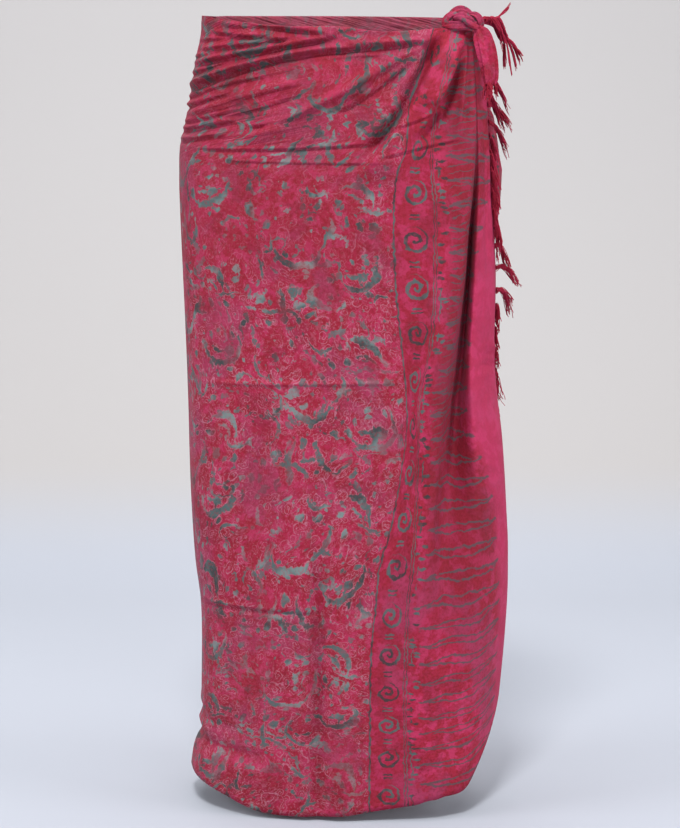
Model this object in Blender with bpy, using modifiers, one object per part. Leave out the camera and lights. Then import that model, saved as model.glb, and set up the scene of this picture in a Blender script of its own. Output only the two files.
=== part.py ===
"""Sarong: one long rectangle of thin cloth, wound about the hips and tied at one side.

Metres, +Z up. The origin is the middle of the waist opening, where the garment is held.
+X is the tied side and -Y the front, where the outer end of the cloth hangs.
"""
import math

import bmesh
import bpy
import numpy as np
from mathutils import Vector

# Cloth
THICKNESS = 0.0012          # wall of every stretch of cloth
SEAM_GAP = 0.0011           # air between one stretch and the next, as both walls lean inward
SEAM_Y = 0.050              # depth at which the two stretches meet on the plain side
OVAL_POWER = 2.2            # squareness of the rings
QUARTER_X = 0.088           # where the front starts to turn towards the fall
TOP_FOLD_ZONE = 0.170       # height of the creased band below the waist
TOP_ROWS = 21
LOWER_ROWS = 20
BACK_TOP_ROWS = 6
BACK_LOWER_ROWS = 13
BACK_COLUMNS = 44
LAP_END_ANGLE = 246.0       # how far round the front the hidden end of the cloth reaches
SEAM_ANGLE = 165.0          # about where the wound layer ends at the seam
SLOPE_STEP = 0.002          # step along the ring for the outward direction

# Columns of the outer layer, closest round the folded fall
# from_place, to_place, columns
FRONT_COLUMNS = (
    (0.000, 0.070, 3),
    (0.070, 0.310, 13),
    (0.310, 0.600, 14),
    (0.600, 0.735, 9),
    (0.735, 0.860, 9),
    (0.860, 1.000, 5),
)

# Rings of the wound cloth, one row per height
# z, left, right, front, back, lap (half widths and depths; lap is the hidden layer in front)
BODY = (
    (0.022, 0.1752, 0.170, 0.098, 0.112, 0.087),
    (-0.004, 0.1770, 0.174, 0.101, 0.113, 0.090),
    (-0.035, 0.1840, 0.181, 0.105, 0.117, 0.093),
    (-0.060, 0.1885, 0.187, 0.108, 0.121, 0.096),
    (-0.111, 0.1970, 0.197, 0.113, 0.130, 0.102),
    (-0.143, 0.2045, 0.202, 0.116, 0.134, 0.106),
    (-0.187, 0.2060, 0.2065, 0.118, 0.136, 0.106),
    (-0.226, 0.2052, 0.204, 0.119, 0.134, 0.106),
    (-0.271, 0.2036, 0.198, 0.119, 0.130, 0.106),
    (-0.381, 0.1994, 0.190, 0.119, 0.121, 0.105),
    (-0.466, 0.1968, 0.188, 0.120, 0.117, 0.105),
    (-0.578, 0.1945, 0.187, 0.122, 0.115, 0.109),
    (-0.677, 0.1894, 0.183, 0.125, 0.115, 0.111),
    (-0.744, 0.1818, 0.176, 0.128, 0.115, 0.112),
    (-0.845, 0.1820, 0.163, 0.133, 0.114, 0.113),
    (-0.900, 0.1840, 0.155, 0.136, 0.114, 0.114),
    (-0.934, 0.1935, 0.150, 0.138, 0.114, 0.115),
    (-0.995, 0.2010, 0.142, 0.140, 0.115, 0.116),
)

# Plan of the folded fall below the knot, one row per height, depths in front of the middle plane
# z, quarter_y, ridge_x, ridge_y, valley_x, valley_y, crest_x, crest_y, side_x, side_y, edge_x, edge_y
FALL = (
    (0.010, 0.101, 0.1590, 0.085, 0.162, 0.079, 0.1660, 0.076, 0.1690, 0.066, 0.1710, 0.058),
    (-0.060, 0.110, 0.1635, 0.100, 0.166, 0.085, 0.1710, 0.088, 0.1780, 0.074, 0.1810, 0.064),
    (-0.115, 0.115, 0.1660, 0.110, 0.168, 0.086, 0.1720, 0.096, 0.1810, 0.080, 0.1850, 0.068),
    (-0.163, 0.118, 0.1650, 0.114, 0.169, 0.084, 0.1730, 0.099, 0.1840, 0.080, 0.1880, 0.066),
    (-0.207, 0.120, 0.1630, 0.117, 0.168, 0.078, 0.1725, 0.100, 0.1850, 0.077, 0.1900, 0.060),
    (-0.246, 0.121, 0.1595, 0.119, 0.166, 0.075, 0.1705, 0.100, 0.1870, 0.073, 0.1940, 0.050),
    (-0.300, 0.122, 0.1545, 0.121, 0.163, 0.072, 0.1695, 0.099, 0.1910, 0.067, 0.1980, 0.038),
    (-0.343, 0.123, 0.1505, 0.122, 0.160, 0.071, 0.1675, 0.099, 0.1920, 0.062, 0.1985, 0.030),
    (-0.395, 0.124, 0.1445, 0.124, 0.156, 0.073, 0.1645, 0.099, 0.1930, 0.055, 0.1985, 0.018),
    (-0.427, 0.125, 0.1395, 0.125, 0.153, 0.076, 0.1640, 0.100, 0.1950, 0.049, 0.1995, 0.008),
    (-0.458, 0.125, 0.1355, 0.126, 0.149, 0.078, 0.1660, 0.101, 0.1990, 0.043, 0.2000, -0.004),
    (-0.510, 0.126, 0.1270, 0.127, 0.144, 0.091, 0.1700, 0.102, 0.2070, 0.033, 0.2000, -0.020),
    (-0.556, 0.127, 0.1220, 0.128, 0.140, 0.104, 0.1750, 0.099, 0.2110, 0.026, 0.2020, -0.032),
    (-0.620, 0.129, 0.1155, 0.130, 0.134, 0.116, 0.1770, 0.094, 0.2145, 0.020, 0.2060, -0.040),
    (-0.700, 0.131, 0.1125, 0.131, 0.131, 0.121, 0.1770, 0.092, 0.2180, 0.016, 0.2100, -0.044),
    (-0.770, 0.133, 0.1115, 0.133, 0.130, 0.124, 0.1740, 0.094, 0.2150, 0.018, 0.2070, -0.040),
    (-0.850, 0.136, 0.1115, 0.135, 0.130, 0.127, 0.1710, 0.098, 0.2080, 0.024, 0.2000, -0.030),
    (-0.950, 0.139, 0.1120, 0.137, 0.130, 0.131, 0.1660, 0.106, 0.1960, 0.042, 0.1900, -0.010),
)

# Places along the outer layer's ring: seam, six places on the oval, quarter, ridge, valley,
# crest, side, edge
PLACES = (0.00, 0.035, 0.07, 0.13, 0.21, 0.31, 0.43, 0.60, 0.735, 0.80, 0.86, 0.93, 1.0)
OVAL_ANGLES = (171.0, 180.0, 202.0, 222.0, 244.0, 270.0)

# Top and bottom edge of the outer layer
# place, z of the top edge, z of the hem
FRONT_EDGES = (
    (0.000, 0.0215, -0.950),
    (0.070, 0.0205, -0.955),
    (0.130, 0.0170, -0.958),
    (0.210, 0.0120, -0.968),
    (0.310, 0.0040, -0.985),
    (0.430, 0.0035, -0.985),
    (0.520, -0.0030, -0.977),
    (0.600, -0.0015, -0.972),
    (0.660, 0.0012, -0.969),
    (0.735, -0.0011, -0.966),
    (0.800, -0.0015, -0.963),
    (0.860, -0.0030, -0.950),
    (0.930, -0.0030, -0.862),
    (1.000, -0.0030, -0.735),
)

# Top and bottom edge of the wound layer, by angle from the tied side
# angle, z of the top edge, z of the hem
BACK_EDGES = (
    (-114.0, 0.000, -0.930),
    (-60.0, -0.004, -0.925),
    (-20.0, 0.010, -0.928),
    (20.0, 0.018, -0.935),
    (90.0, 0.024, -0.955),
    (150.0, 0.023, -0.952),
    (165.0, 0.0215, -0.950),
)

# Folds of the outer layer seen from the front; depth is outward, above and below are half widths
# name, from_x, from_z, to_x, to_z, bow, depth, above, below
FOLDS = (
    ("waist_tuck_1", -0.131, 0.009, -0.004, -0.011, 0.000, -0.0025, 0.005, 0.005),
    ("waist_tuck_2", -0.165, -0.004, -0.060, -0.015, 0.001, -0.0025, 0.005, 0.005),
    ("waist_tuck_3", -0.172, -0.027, -0.055, -0.013, 0.000, -0.0030, 0.005, 0.005),
    ("waist_tuck_4", -0.188, -0.045, 0.006, -0.011, 0.000, -0.0055, 0.006, 0.006),
    ("waist_swag_5", -0.196, -0.079, 0.016, -0.027, -0.010, -0.0060, 0.007, 0.008),
    ("waist_roll_6", -0.190, -0.106, -0.045, -0.062, -0.003, 0.0050, 0.007, 0.009),
    ("waist_tuck_7", -0.195, -0.098, -0.130, -0.080, 0.000, -0.0035, 0.005, 0.005),
    ("waist_tuck_8", -0.200, -0.127, -0.135, -0.117, 0.000, -0.0035, 0.006, 0.006),
    ("waist_swag_9", -0.160, -0.141, 0.016, -0.073, 0.009, 0.0060, 0.006, 0.014),
    ("waist_tuck_10", -0.190, -0.148, 0.050, -0.141, 0.004, -0.0020, 0.006, 0.008),
    ("band_tuck_low", -0.016, -0.030, 0.106, -0.019, 0.000, -0.0045, 0.005, 0.006),
    ("band_roll", 0.000, -0.016, 0.110, -0.010, 0.000, 0.0030, 0.006, 0.006),
    ("knot_swag", 0.128, -0.001, -0.016, -0.092, 0.000, 0.0050, 0.010, 0.007),
    ("knot_pleat_front", 0.134, 0.000, 0.016, -0.184, 0.015, 0.0100, 0.007, 0.028),
    ("knot_pleat_next", 0.152, 0.000, 0.112, -0.092, 0.003, 0.0070, 0.014, 0.006),
    ("shin_trough", -0.029, -0.660, -0.030, -1.010, 0.000, -0.0060, 0.011, 0.011),
    ("shin_roll", -0.003, -0.560, 0.004, -1.020, 0.000, 0.0040, 0.016, 0.016),
)
FOLD_END = 0.16             # share of a fold's length over which it dies out
FOLD_LAST_PLACE = 0.765     # folds end before the valley of the fall
FOLD_LAST_FADE = 0.05       # share of the ring over which they end

# Soft folds of the wound layer; angles from the tied side
# name, angle, width in degrees, from_z, to_z, depth
BACK_FOLDS = (
    ("hip_roll", 22.0, 9.0, -0.18, -0.90, 0.0050),
    ("hip_trough", 44.0, 8.0, -0.22, -0.95, -0.0060),
    ("seat_roll", 68.0, 10.0, -0.25, -0.98, 0.0060),
    ("seat_trough", 93.0, 9.0, -0.24, -0.99, -0.0060),
    ("far_roll", 116.0, 10.0, -0.30, -0.98, 0.0050),
)

# Knot, one row per roll: places of its path and half widths there
# x, y, z, half width across, half width through
KNOT_LOOP = (
    (0.1290, -0.0840, 0.0075, 0.0050, 0.0045),
    (0.1365, -0.0820, 0.0185, 0.0068, 0.0060),
    (0.1492, -0.0800, 0.0225, 0.0076, 0.0070),
    (0.1600, -0.0790, 0.0160, 0.0070, 0.0065),
    (0.1660, -0.0790, 0.0070, 0.0050, 0.0045),
)
KNOT_BAND = (
    (0.1265, -0.0860, 0.0080, 0.0040, 0.0040),
    (0.1320, -0.0925, 0.0095, 0.0078, 0.0058),
    (0.1450, -0.0965, 0.0090, 0.0085, 0.0070),
    (0.1570, -0.0950, 0.0115, 0.0075, 0.0065),
    (0.1690, -0.0880, 0.0120, 0.0080, 0.0062),
    (0.1745, -0.0800, 0.0110, 0.0050, 0.0045),
)
KNOT_CORE = (
    (0.1300, -0.0800, 0.0085, 0.0050, 0.0050),
    (0.1400, -0.0820, 0.0095, 0.0088, 0.0090),
    (0.1600, -0.0820, 0.0095, 0.0088, 0.0090),
    (0.1710, -0.0790, 0.0085, 0.0050, 0.0050),
)
KNOT_STRAND = (
    (0.1485, -0.1005, 0.0150, 0.0028, 0.0028),
    (0.1540, -0.1030, 0.0100, 0.0042, 0.0040),
    (0.1620, -0.1010, 0.0050, 0.0046, 0.0040),
    (0.1680, -0.0960, 0.0035, 0.0040, 0.0036),
)
LONG_TAIL = (
    (0.1722, -0.0955, 0.0018, 0.0040, 0.0036),
    (0.1790, -0.1000, -0.0080, 0.0088, 0.0055),
    (0.1840, -0.1025, -0.0220, 0.0098, 0.0060),
    (0.1870, -0.1030, -0.0400, 0.0098, 0.0060),
    (0.1865, -0.1020, -0.0560, 0.0088, 0.0054),
    (0.1850, -0.1010, -0.0670, 0.0075, 0.0045),
)
SHORT_TAIL = (
    (0.1757, -0.0777, 0.0112, 0.0036, 0.0032),
    (0.1870, -0.0730, 0.0110, 0.0056, 0.0045),
    (0.1960, -0.0700, 0.0050, 0.0064, 0.0050),
    (0.2030, -0.0680, -0.0060, 0.0068, 0.0050),
    (0.2075, -0.0660, -0.0170, 0.0056, 0.0042),
)
ROLL_SIDES = 12

# Locks that fray from each tail's tip
# reach_x, reach_y, drop
LONG_TAIL_LOCKS = (
    (0.003, 0.000, 0.012),
    (0.002, -0.002, 0.017),
    (0.000, -0.001, 0.020),
    (-0.002, 0.001, 0.016),
    (-0.003, 0.000, 0.012),
)
SHORT_TAIL_LOCKS = (
    (0.012, 0.002, 0.030),
    (0.009, -0.002, 0.034),
    (0.006, 0.000, 0.032),
    (0.003, 0.002, 0.028),
    (0.001, 0.000, 0.022),
)
TAIL_LOCK_INSET = 0.0006
TAIL_LOCK_STEPS = 4
TAIL_LOCK_TAPER = 0.84      # width of each step of a lock against the last
TAIL_LOCK_STRAIGHT = 0.5    # share of a lock's drop that runs straight down

# Fringe along the outer end of the cloth
FRINGE_TOP = -0.075
FRINGE_BOTTOM = -0.728
FRINGE_LOCKS = 22
STRIP_WIDTH = 0.0030
STRIP_GAP = 0.0008          # air between the end of the cloth and the strip, measured on the bare plan
LOCK_SHARE = 0.30           # share of the strip's length that carries locks
LOCK_STEPS = 5
LOCK_REACH = 0.024          # how far a lock stands out
LOCK_DROP = 0.020           # how far it falls
LOCK_VARIES = 0.003
LOCK_TAPER = 0.90
REACH_TURN = 2.3            # radians from one lock to the next in the wave that varies the reach
DROP_TURN = 1.7             # and in the wave that varies the drop
BEFORE_EDGE = 0.985         # place just before the outer end, for the way the cloth runs there

# Colours (linear)
CRIMSON = (0.42, 0.035, 0.085, 1.0)
CRIMSON_BACK = (0.34, 0.030, 0.070, 1.0)
CRIMSON_KNOT = (0.48, 0.045, 0.100, 1.0)
CRIMSON_FRINGE = (0.45, 0.035, 0.075, 1.0)


def clear_scene():
    """Remove whatever the scene holds."""
    for item in list(bpy.data.objects):
        bpy.data.objects.remove(item, do_unlink=True)


def tangents(knots, rows):
    """Slope of a smooth curve at each knot; rows run along the first axis."""
    slope = np.zeros_like(rows)
    shape = (-1,) + (1,) * (rows.ndim - 1)
    slope[1:-1] = (rows[2:] - rows[:-2]) / (knots[2:] - knots[:-2]).reshape(shape)
    slope[0] = (rows[1] - rows[0]) / (knots[1] - knots[0])
    slope[-1] = (rows[-1] - rows[-2]) / (knots[-1] - knots[-2])
    return slope


def blend(u, span, first, last, leave, arrive):
    """Cubic between two knots."""
    square = u * u
    cube = square * u
    near = (2 * cube - 3 * square + 1) * first + (cube - 2 * square + u) * span * leave
    far = (3 * square - 2 * cube) * last + (cube - square) * span * arrive
    return near + far


def table_curve(table, at):
    """Read a table smoothly: first column is the knot, one column of answers per other column."""
    rows = np.array(sorted(table))
    knots = rows[:, 0]
    values = rows[:, 1:]
    slope = tangents(knots, values)
    at = np.clip(at, knots[0], knots[-1])
    low = np.clip(np.searchsorted(knots, at) - 1, 0, len(knots) - 2)
    span = (knots[low + 1] - knots[low])[:, None]
    u = (at - knots[low])[:, None] / span
    return blend(u, span, values[low], values[low + 1], slope[low], slope[low + 1])


def oval(degrees, left, right, front, back):
    """Place on a ring whose four half axes differ, as x and y columns."""
    across = np.cos(np.radians(degrees))
    deep = np.sin(np.radians(degrees))
    x_half = np.where(across < 0, left, right)
    y_half = np.where(deep < 0, front, back)
    x = x_half * np.sign(across) * np.abs(across) ** (2 / OVAL_POWER)
    y = y_half * np.sign(deep) * np.abs(deep) ** (2 / OVAL_POWER)
    return np.column_stack((x, y))


def seam_x(left, back):
    """Where the ring crosses the seam on the plain side."""
    return -left * (1 - (SEAM_Y / back) ** OVAL_POWER) ** (1 / OVAL_POWER)


def front_plan(place, z):
    """Bare plan of the outer layer: x and y at each place and height."""
    body = table_curve(BODY, z)
    fall = table_curve(FALL, z)
    left, right, front, back = body[:, 0], body[:, 1], body[:, 2], body[:, 3]
    stops = [np.column_stack((seam_x(left, back), np.full_like(z, SEAM_Y)))]
    for angle in OVAL_ANGLES:
        stops.append(oval(np.full_like(z, angle), left, right, front, back))
    stops.append(np.column_stack((np.full_like(z, QUARTER_X), -fall[:, 0])))
    for column in range(1, 11, 2):
        stops.append(np.column_stack((fall[:, column], -fall[:, column + 1])))
    stops = np.array(stops)
    knots = np.array(PLACES)
    slope = tangents(knots, stops)
    low = np.clip(np.searchsorted(knots, place) - 1, 0, len(knots) - 2)
    each = np.arange(len(z))
    span = (knots[low + 1] - knots[low])[:, None]
    u = (place - knots[low])[:, None] / span
    return blend(u, span, stops[low, each], stops[low + 1, each], slope[low, each], slope[low + 1, each])


def fold_relief(x, z, place):
    """Outward relief of the outer layer's folds."""
    relief = np.zeros_like(x)
    for _, x1, z1, x2, z2, bow, depth, above, below in FOLDS:
        run = math.hypot(x2 - x1, z2 - z1)
        dx, dz = (x2 - x1) / run, (z2 - z1) / run
        if dx < 0:
            dx, dz, x1, z1 = -dx, -dz, x2, z2
        along = ((x - x1) * dx + (z - z1) * dz) / run
        off = (z - z1) * dx - (x - x1) * dz + bow * 4 * along * (1 - along)
        wide = np.where(off > 0, above, below)
        fade = np.clip(along / FOLD_END, 0, 1) * np.clip((1 - along) / FOLD_END, 0, 1)
        relief += depth * fade * fade * (3 - 2 * fade) * np.exp(-(off / wide) ** 2)
    opening = np.clip(place / PLACES[2], 0, 1)
    closing = np.clip((FOLD_LAST_PLACE - place) / FOLD_LAST_FADE, 0, 1)
    return relief * opening * opening * closing


def front_surface(place, z):
    """Outer layer with its folds, as x, y, z."""
    bare = front_plan(place, z)
    ahead = front_plan(np.clip(place + SLOPE_STEP, 0, 1), z)
    behind = front_plan(np.clip(place - SLOPE_STEP, 0, 1), z)
    run = ahead - behind
    run /= np.linalg.norm(run, axis=1)[:, None]
    outward = np.column_stack((run[:, 1], -run[:, 0]))
    moved = bare + outward * fold_relief(bare[:, 0], z, place)[:, None]
    return np.column_stack((moved, z))


def back_surface(angle, z):
    """Wound layer, from its hidden end in front, round the tied side and the back, to the seam."""
    body = table_curve(BODY, z)
    left, right, back, lap = body[:, 0], body[:, 1], body[:, 3], body[:, 4]
    plan = oval(angle, left, right, lap, back)
    reach = np.linalg.norm(plan, axis=1)[:, None]
    relief = np.zeros_like(z)
    for _, middle, width, top, bottom, depth in BACK_FOLDS:
        down = np.clip((top - z) / (top - bottom), 0, 1)
        relief += depth * down * np.exp(-((angle - middle) / width) ** 2)
    return np.column_stack((plan * (1 + relief[:, None] / reach), z))


def row_heights(top, hem, zone, top_rows, lower_rows):
    """Heights of the rows between two edges: close rows in the top zone, wider ones below."""
    rows = [top - zone * k / top_rows for k in range(top_rows)]
    start = top - zone
    rows += [start + (hem - start) * k / lower_rows for k in range(lower_rows + 1)]
    return np.array(rows)


def grid_mesh(points):
    """Quads over a grid of points (rows, columns, xyz), facing outward."""
    rows, columns = points.shape[:2]
    corners = points.reshape(-1, 3).tolist()
    faces = []
    for row in range(rows - 1):
        for column in range(columns - 1):
            a = row * columns + column
            faces.append((a + columns, a + columns + 1, a + 1, a))
    return corners, faces


def add_object(name, corners, faces, colour, roughness):
    """One named object with its own material, in the object's collection."""
    mesh = bpy.data.meshes.new(name)
    mesh.from_pydata(corners, [], faces)
    mesh.validate()
    for face in mesh.polygons:
        face.use_smooth = True
    item = bpy.data.objects.new(name, mesh)
    parts.objects.link(item)
    material = bpy.data.materials.new(name + "_cloth")
    material.use_nodes = True
    shader = material.node_tree.nodes["Principled BSDF"]
    shader.inputs["Base Color"].default_value = colour
    shader.inputs["Roughness"].default_value = roughness
    shader.inputs["Metallic"].default_value = 0.0
    mesh.materials.append(material)
    return item


def thicken(item):
    """Give an open sheet its wall, inward from the modelled face."""
    wall = item.modifiers.new("wall", "SOLIDIFY")
    wall.thickness = THICKNESS
    wall.offset = -1.0
    wall.use_even_offset = False


def front_columns():
    """Places of the outer layer's columns."""
    places = []
    for start, end, count in FRONT_COLUMNS:
        places += [start + (end - start) * k / count for k in range(count)]
    return np.array(places + [1.0])


def build_front():
    """Outer layer: from the seam across the front to the folded fall and the outer end."""
    places = front_columns()
    edges = table_curve(FRONT_EDGES, places)
    heights = row_heights(edges[:, 0], edges[:, 1], TOP_FOLD_ZONE, TOP_ROWS, LOWER_ROWS)
    points = np.array([front_surface(places, row) for row in heights])
    corners, faces = grid_mesh(points)
    thicken(add_object("front_panel", corners, faces, CRIMSON, 0.62))


def build_back():
    """Wound layer: hidden end, tied side, back and plain side up to the seam."""
    first = LAP_END_ANGLE - 360.0
    share = np.linspace(0.0, 1.0, BACK_COLUMNS + 1)
    seam_table = []
    for z, left, _, _, back, _ in BODY:
        across = -seam_x(left, back) / left
        seam_table.append((z, 180.0 - math.degrees(math.acos(across ** (OVAL_POWER / 2)))))
    edges = table_curve(BACK_EDGES, first + (SEAM_ANGLE - first) * share)
    heights = row_heights(edges[:, 0], edges[:, 1], TOP_FOLD_ZONE, BACK_TOP_ROWS, BACK_LOWER_ROWS)
    points = []
    for row in heights:
        end = table_curve(seam_table, row)[:, 0]
        angle = first + (end - first) * share
        line = back_surface(angle, row)
        body = table_curve(BODY, row[-1:])[0]
        line[-1, 0] = seam_x(body[0], body[3])
        line[-1, 1] = SEAM_Y + SEAM_GAP
        points.append(line)
    corners, faces = grid_mesh(np.array(points))
    thicken(add_object("wrap_back", corners, faces, CRIMSON_BACK, 0.66))


def roll_rings(path, sides):
    """Rings of a roll of cloth along a path of rows x, y, z, across, through."""
    rows = np.array(path)
    centres = rows[:, :3]
    rings = []
    for k in range(len(rows)):
        ahead = centres[min(k + 1, len(rows) - 1)] - centres[max(k - 1, 0)]
        ahead /= np.linalg.norm(ahead)
        depth = np.array((0.0, -1.0, 0.0))
        depth -= ahead * depth.dot(ahead)
        depth /= np.linalg.norm(depth)
        side = np.cross(ahead, depth)
        turn = np.linspace(0, 2 * math.pi, sides, endpoint=False)[:, None]
        rings.append(centres[k] + np.cos(turn) * side * rows[k, 3] + np.sin(turn) * depth * rows[k, 4])
    return rings


def roll_mesh(path, sides, split_end=False):
    """Closed loft through a roll's rings; the last cap is a strip of quads when it carries locks."""
    rings = roll_rings(path, sides)
    corners = np.concatenate(rings).tolist()
    faces = []
    for ring in range(len(rings) - 1):
        for k in range(sides):
            a = ring * sides + k
            b = ring * sides + (k + 1) % sides
            faces.append((a, b, b + sides, a + sides))
    faces.append(tuple(reversed(range(sides))))
    base = (len(rings) - 1) * sides
    if not split_end:
        faces.append(tuple(base + k for k in range(sides)))
        return corners, faces
    half = sides // 2
    for k in range(half - 1):
        faces.append((base + k, base + k + 1, base + sides - 2 - k, base + (sides - 1 - k) % sides))
    return corners, faces


def grow_lock(mesh, face, steps, reach, sag, taper):
    """Draw a lock of threads out of one face: it leaves along reach and bends down by sag."""
    for step in range(1, steps + 1):
        result = bmesh.ops.extrude_discrete_faces(mesh, faces=[face])
        face = result["faces"][0]
        share = step / steps
        move = np.array(reach) / steps + np.array((0.0, 0.0, -sag)) * (2 * share - 1 / steps) / steps
        centre = face.calc_center_median()
        for corner in face.verts:
            corner.co = centre + (corner.co - centre) * taper + Vector(move)


def build_tail(name, path, locks, colour):
    """A gathered end of cloth that leaves the knot, its tip drawn out into locks."""
    corners, faces = roll_mesh(path, ROLL_SIDES, split_end=True)
    item = add_object(name, corners, faces, colour, 0.64)
    mesh = bmesh.new()
    mesh.from_mesh(item.data)
    mesh.faces.ensure_lookup_table()
    ends = [mesh.faces[-1 - k] for k in range(ROLL_SIDES // 2 - 1)]
    ends = [face for face in ends if len(face.verts) == 4]
    bmesh.ops.inset_individual(mesh, faces=ends, thickness=TAIL_LOCK_INSET)
    for face, (across, depth, drop) in zip(ends, locks):
        straight = drop * TAIL_LOCK_STRAIGHT
        grow_lock(mesh, face, TAIL_LOCK_STEPS, (across, depth, -straight), drop - straight, TAIL_LOCK_TAPER)
    bmesh.ops.recalc_face_normals(mesh, faces=mesh.faces)
    mesh.to_mesh(item.data)
    mesh.free()


def build_knot():
    """Crossed rolls of the knot, fused to one body."""
    corners, faces = roll_mesh(KNOT_CORE, ROLL_SIDES)
    knot = add_object("knot", corners, faces, CRIMSON_KNOT, 0.64)
    for label, path in (("loop", KNOT_LOOP), ("band", KNOT_BAND), ("strand", KNOT_STRAND)):
        corners, faces = roll_mesh(path, ROLL_SIDES)
        mesh = bpy.data.meshes.new("knot_" + label)
        mesh.from_pydata(corners, [], faces)
        roll = bpy.data.objects.new("knot_" + label, mesh)
        cutters.objects.link(roll)
        roll.hide_render = True
        roll.display_type = "WIRE"
        join = knot.modifiers.new("with_" + label, "BOOLEAN")
        join.operation = "UNION"
        join.solver = "EXACT"
        join.object = roll


def strip_rings(z):
    """Four corners of the fringe strip at each height, just outside the outer end of the cloth."""
    here = front_surface(np.ones_like(z), z)
    before = front_surface(np.full_like(z, BEFORE_EDGE), z)
    run = here[:, :2] - before[:, :2]
    run /= np.linalg.norm(run, axis=1)[:, None]
    outward = np.column_stack((run[:, 1], -run[:, 0]))
    lean = (run + outward) / math.sqrt(2)
    near = here[:, :2] + run * STRIP_GAP
    far = near + lean * STRIP_WIDTH
    inner = -np.column_stack((lean[:, 1], -lean[:, 0])) * THICKNESS
    corners = []
    for k in range(len(z)):
        for spot in (near[k], far[k], far[k] + inner[k], near[k] + inner[k]):
            corners.append((spot[0], spot[1], z[k]))
    return corners, lean


def build_fringe():
    """Strip along the outer end of the cloth with one knotted lock per tassel."""
    pitch = (FRINGE_TOP - FRINGE_BOTTOM) / FRINGE_LOCKS
    z = []
    for k in range(FRINGE_LOCKS):
        start = FRINGE_TOP - pitch * k
        z += [start, start - pitch * (1 - LOCK_SHARE)]
    z = np.array(z + [FRINGE_BOTTOM])
    corners, lean = strip_rings(z)
    faces = [(3, 2, 1, 0)]
    for ring in range(len(z) - 1):
        for k in range(4):
            a = ring * 4 + k
            b = ring * 4 + (k + 1) % 4
            faces.append((a, b, b + 4, a + 4))
    base = (len(z) - 1) * 4
    faces.append((base, base + 1, base + 2, base + 3))
    item = add_object("end_fringe", corners, faces, CRIMSON_FRINGE, 0.70)
    mesh = bmesh.new()
    mesh.from_mesh(item.data)
    mesh.faces.ensure_lookup_table()
    roots = [mesh.faces[1 + (2 * k + 1) * 4 + 1] for k in range(FRINGE_LOCKS)]
    for k, face in enumerate(roots):
        reach = lean[2 * k + 1] * (LOCK_REACH + LOCK_VARIES * math.sin(k * REACH_TURN))
        drop = LOCK_DROP + LOCK_VARIES * math.cos(k * DROP_TURN)
        grow_lock(mesh, face, LOCK_STEPS, (reach[0], reach[1], 0.0), drop, LOCK_TAPER)
    bmesh.ops.recalc_face_normals(mesh, faces=mesh.faces)
    mesh.to_mesh(item.data)
    mesh.free()


clear_scene()
parts = bpy.data.collections.new("sarong")
cutters = bpy.data.collections.new("sarong_joined_rolls")
bpy.context.scene.collection.children.link(parts)
bpy.context.scene.collection.children.link(cutters)

build_back()
build_front()
build_knot()
build_tail("tail_long", LONG_TAIL, LONG_TAIL_LOCKS, CRIMSON_KNOT)
build_tail("tail_short", SHORT_TAIL, SHORT_TAIL_LOCKS, CRIMSON_KNOT)
build_fringe()
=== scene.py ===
"""Batik sarong, wound about the hips and tied at one side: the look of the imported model.

Every length is in metres. The origin is the middle of the waist opening, +X is the tied side
and -Y the front.
"""
import math
import random

import bmesh
import bpy
import numpy as np
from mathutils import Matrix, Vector


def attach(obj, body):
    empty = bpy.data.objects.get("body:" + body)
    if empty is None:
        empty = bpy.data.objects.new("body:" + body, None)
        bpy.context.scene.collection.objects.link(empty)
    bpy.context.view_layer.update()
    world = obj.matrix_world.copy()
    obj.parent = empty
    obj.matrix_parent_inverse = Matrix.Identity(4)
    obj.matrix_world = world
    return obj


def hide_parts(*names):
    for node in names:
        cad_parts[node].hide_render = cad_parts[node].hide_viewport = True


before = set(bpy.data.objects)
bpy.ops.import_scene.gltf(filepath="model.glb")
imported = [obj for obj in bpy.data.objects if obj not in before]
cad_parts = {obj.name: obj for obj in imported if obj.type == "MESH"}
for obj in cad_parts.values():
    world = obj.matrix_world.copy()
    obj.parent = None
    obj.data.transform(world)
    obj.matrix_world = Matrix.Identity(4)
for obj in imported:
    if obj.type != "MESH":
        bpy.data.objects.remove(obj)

bl_info = {
    "name": "Batik Sarong",
    "version": (1, 0, 0),
    "blender": (4, 5, 0),
    "location": "View3D > Sidebar > Sarong",
    "description": "Builds a tied batik sarong, its fringe and a plain studio",
    "category": "Add Mesh",
}

BODY_NAME = "root"

# Rings of the wound cloth
# z, left, right, front, back, lap
BODY = (
    (0.022, 0.1752, 0.170, 0.098, 0.112, 0.087),
    (-0.004, 0.1770, 0.174, 0.101, 0.113, 0.090),
    (-0.035, 0.1840, 0.181, 0.105, 0.117, 0.093),
    (-0.060, 0.1885, 0.187, 0.108, 0.121, 0.096),
    (-0.111, 0.1970, 0.197, 0.113, 0.130, 0.102),
    (-0.143, 0.2045, 0.202, 0.116, 0.134, 0.106),
    (-0.187, 0.2060, 0.2065, 0.118, 0.136, 0.106),
    (-0.226, 0.2052, 0.204, 0.119, 0.134, 0.106),
    (-0.271, 0.2036, 0.198, 0.119, 0.130, 0.106),
    (-0.381, 0.1994, 0.190, 0.119, 0.121, 0.105),
    (-0.466, 0.1968, 0.188, 0.120, 0.117, 0.105),
    (-0.578, 0.1945, 0.187, 0.122, 0.115, 0.109),
    (-0.677, 0.1894, 0.183, 0.125, 0.115, 0.111),
    (-0.744, 0.1818, 0.176, 0.128, 0.115, 0.112),
    (-0.845, 0.1820, 0.163, 0.133, 0.114, 0.113),
    (-0.900, 0.1840, 0.155, 0.136, 0.114, 0.114),
    (-0.934, 0.1935, 0.150, 0.138, 0.114, 0.115),
    (-0.995, 0.2010, 0.142, 0.140, 0.115, 0.116),
)

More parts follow.
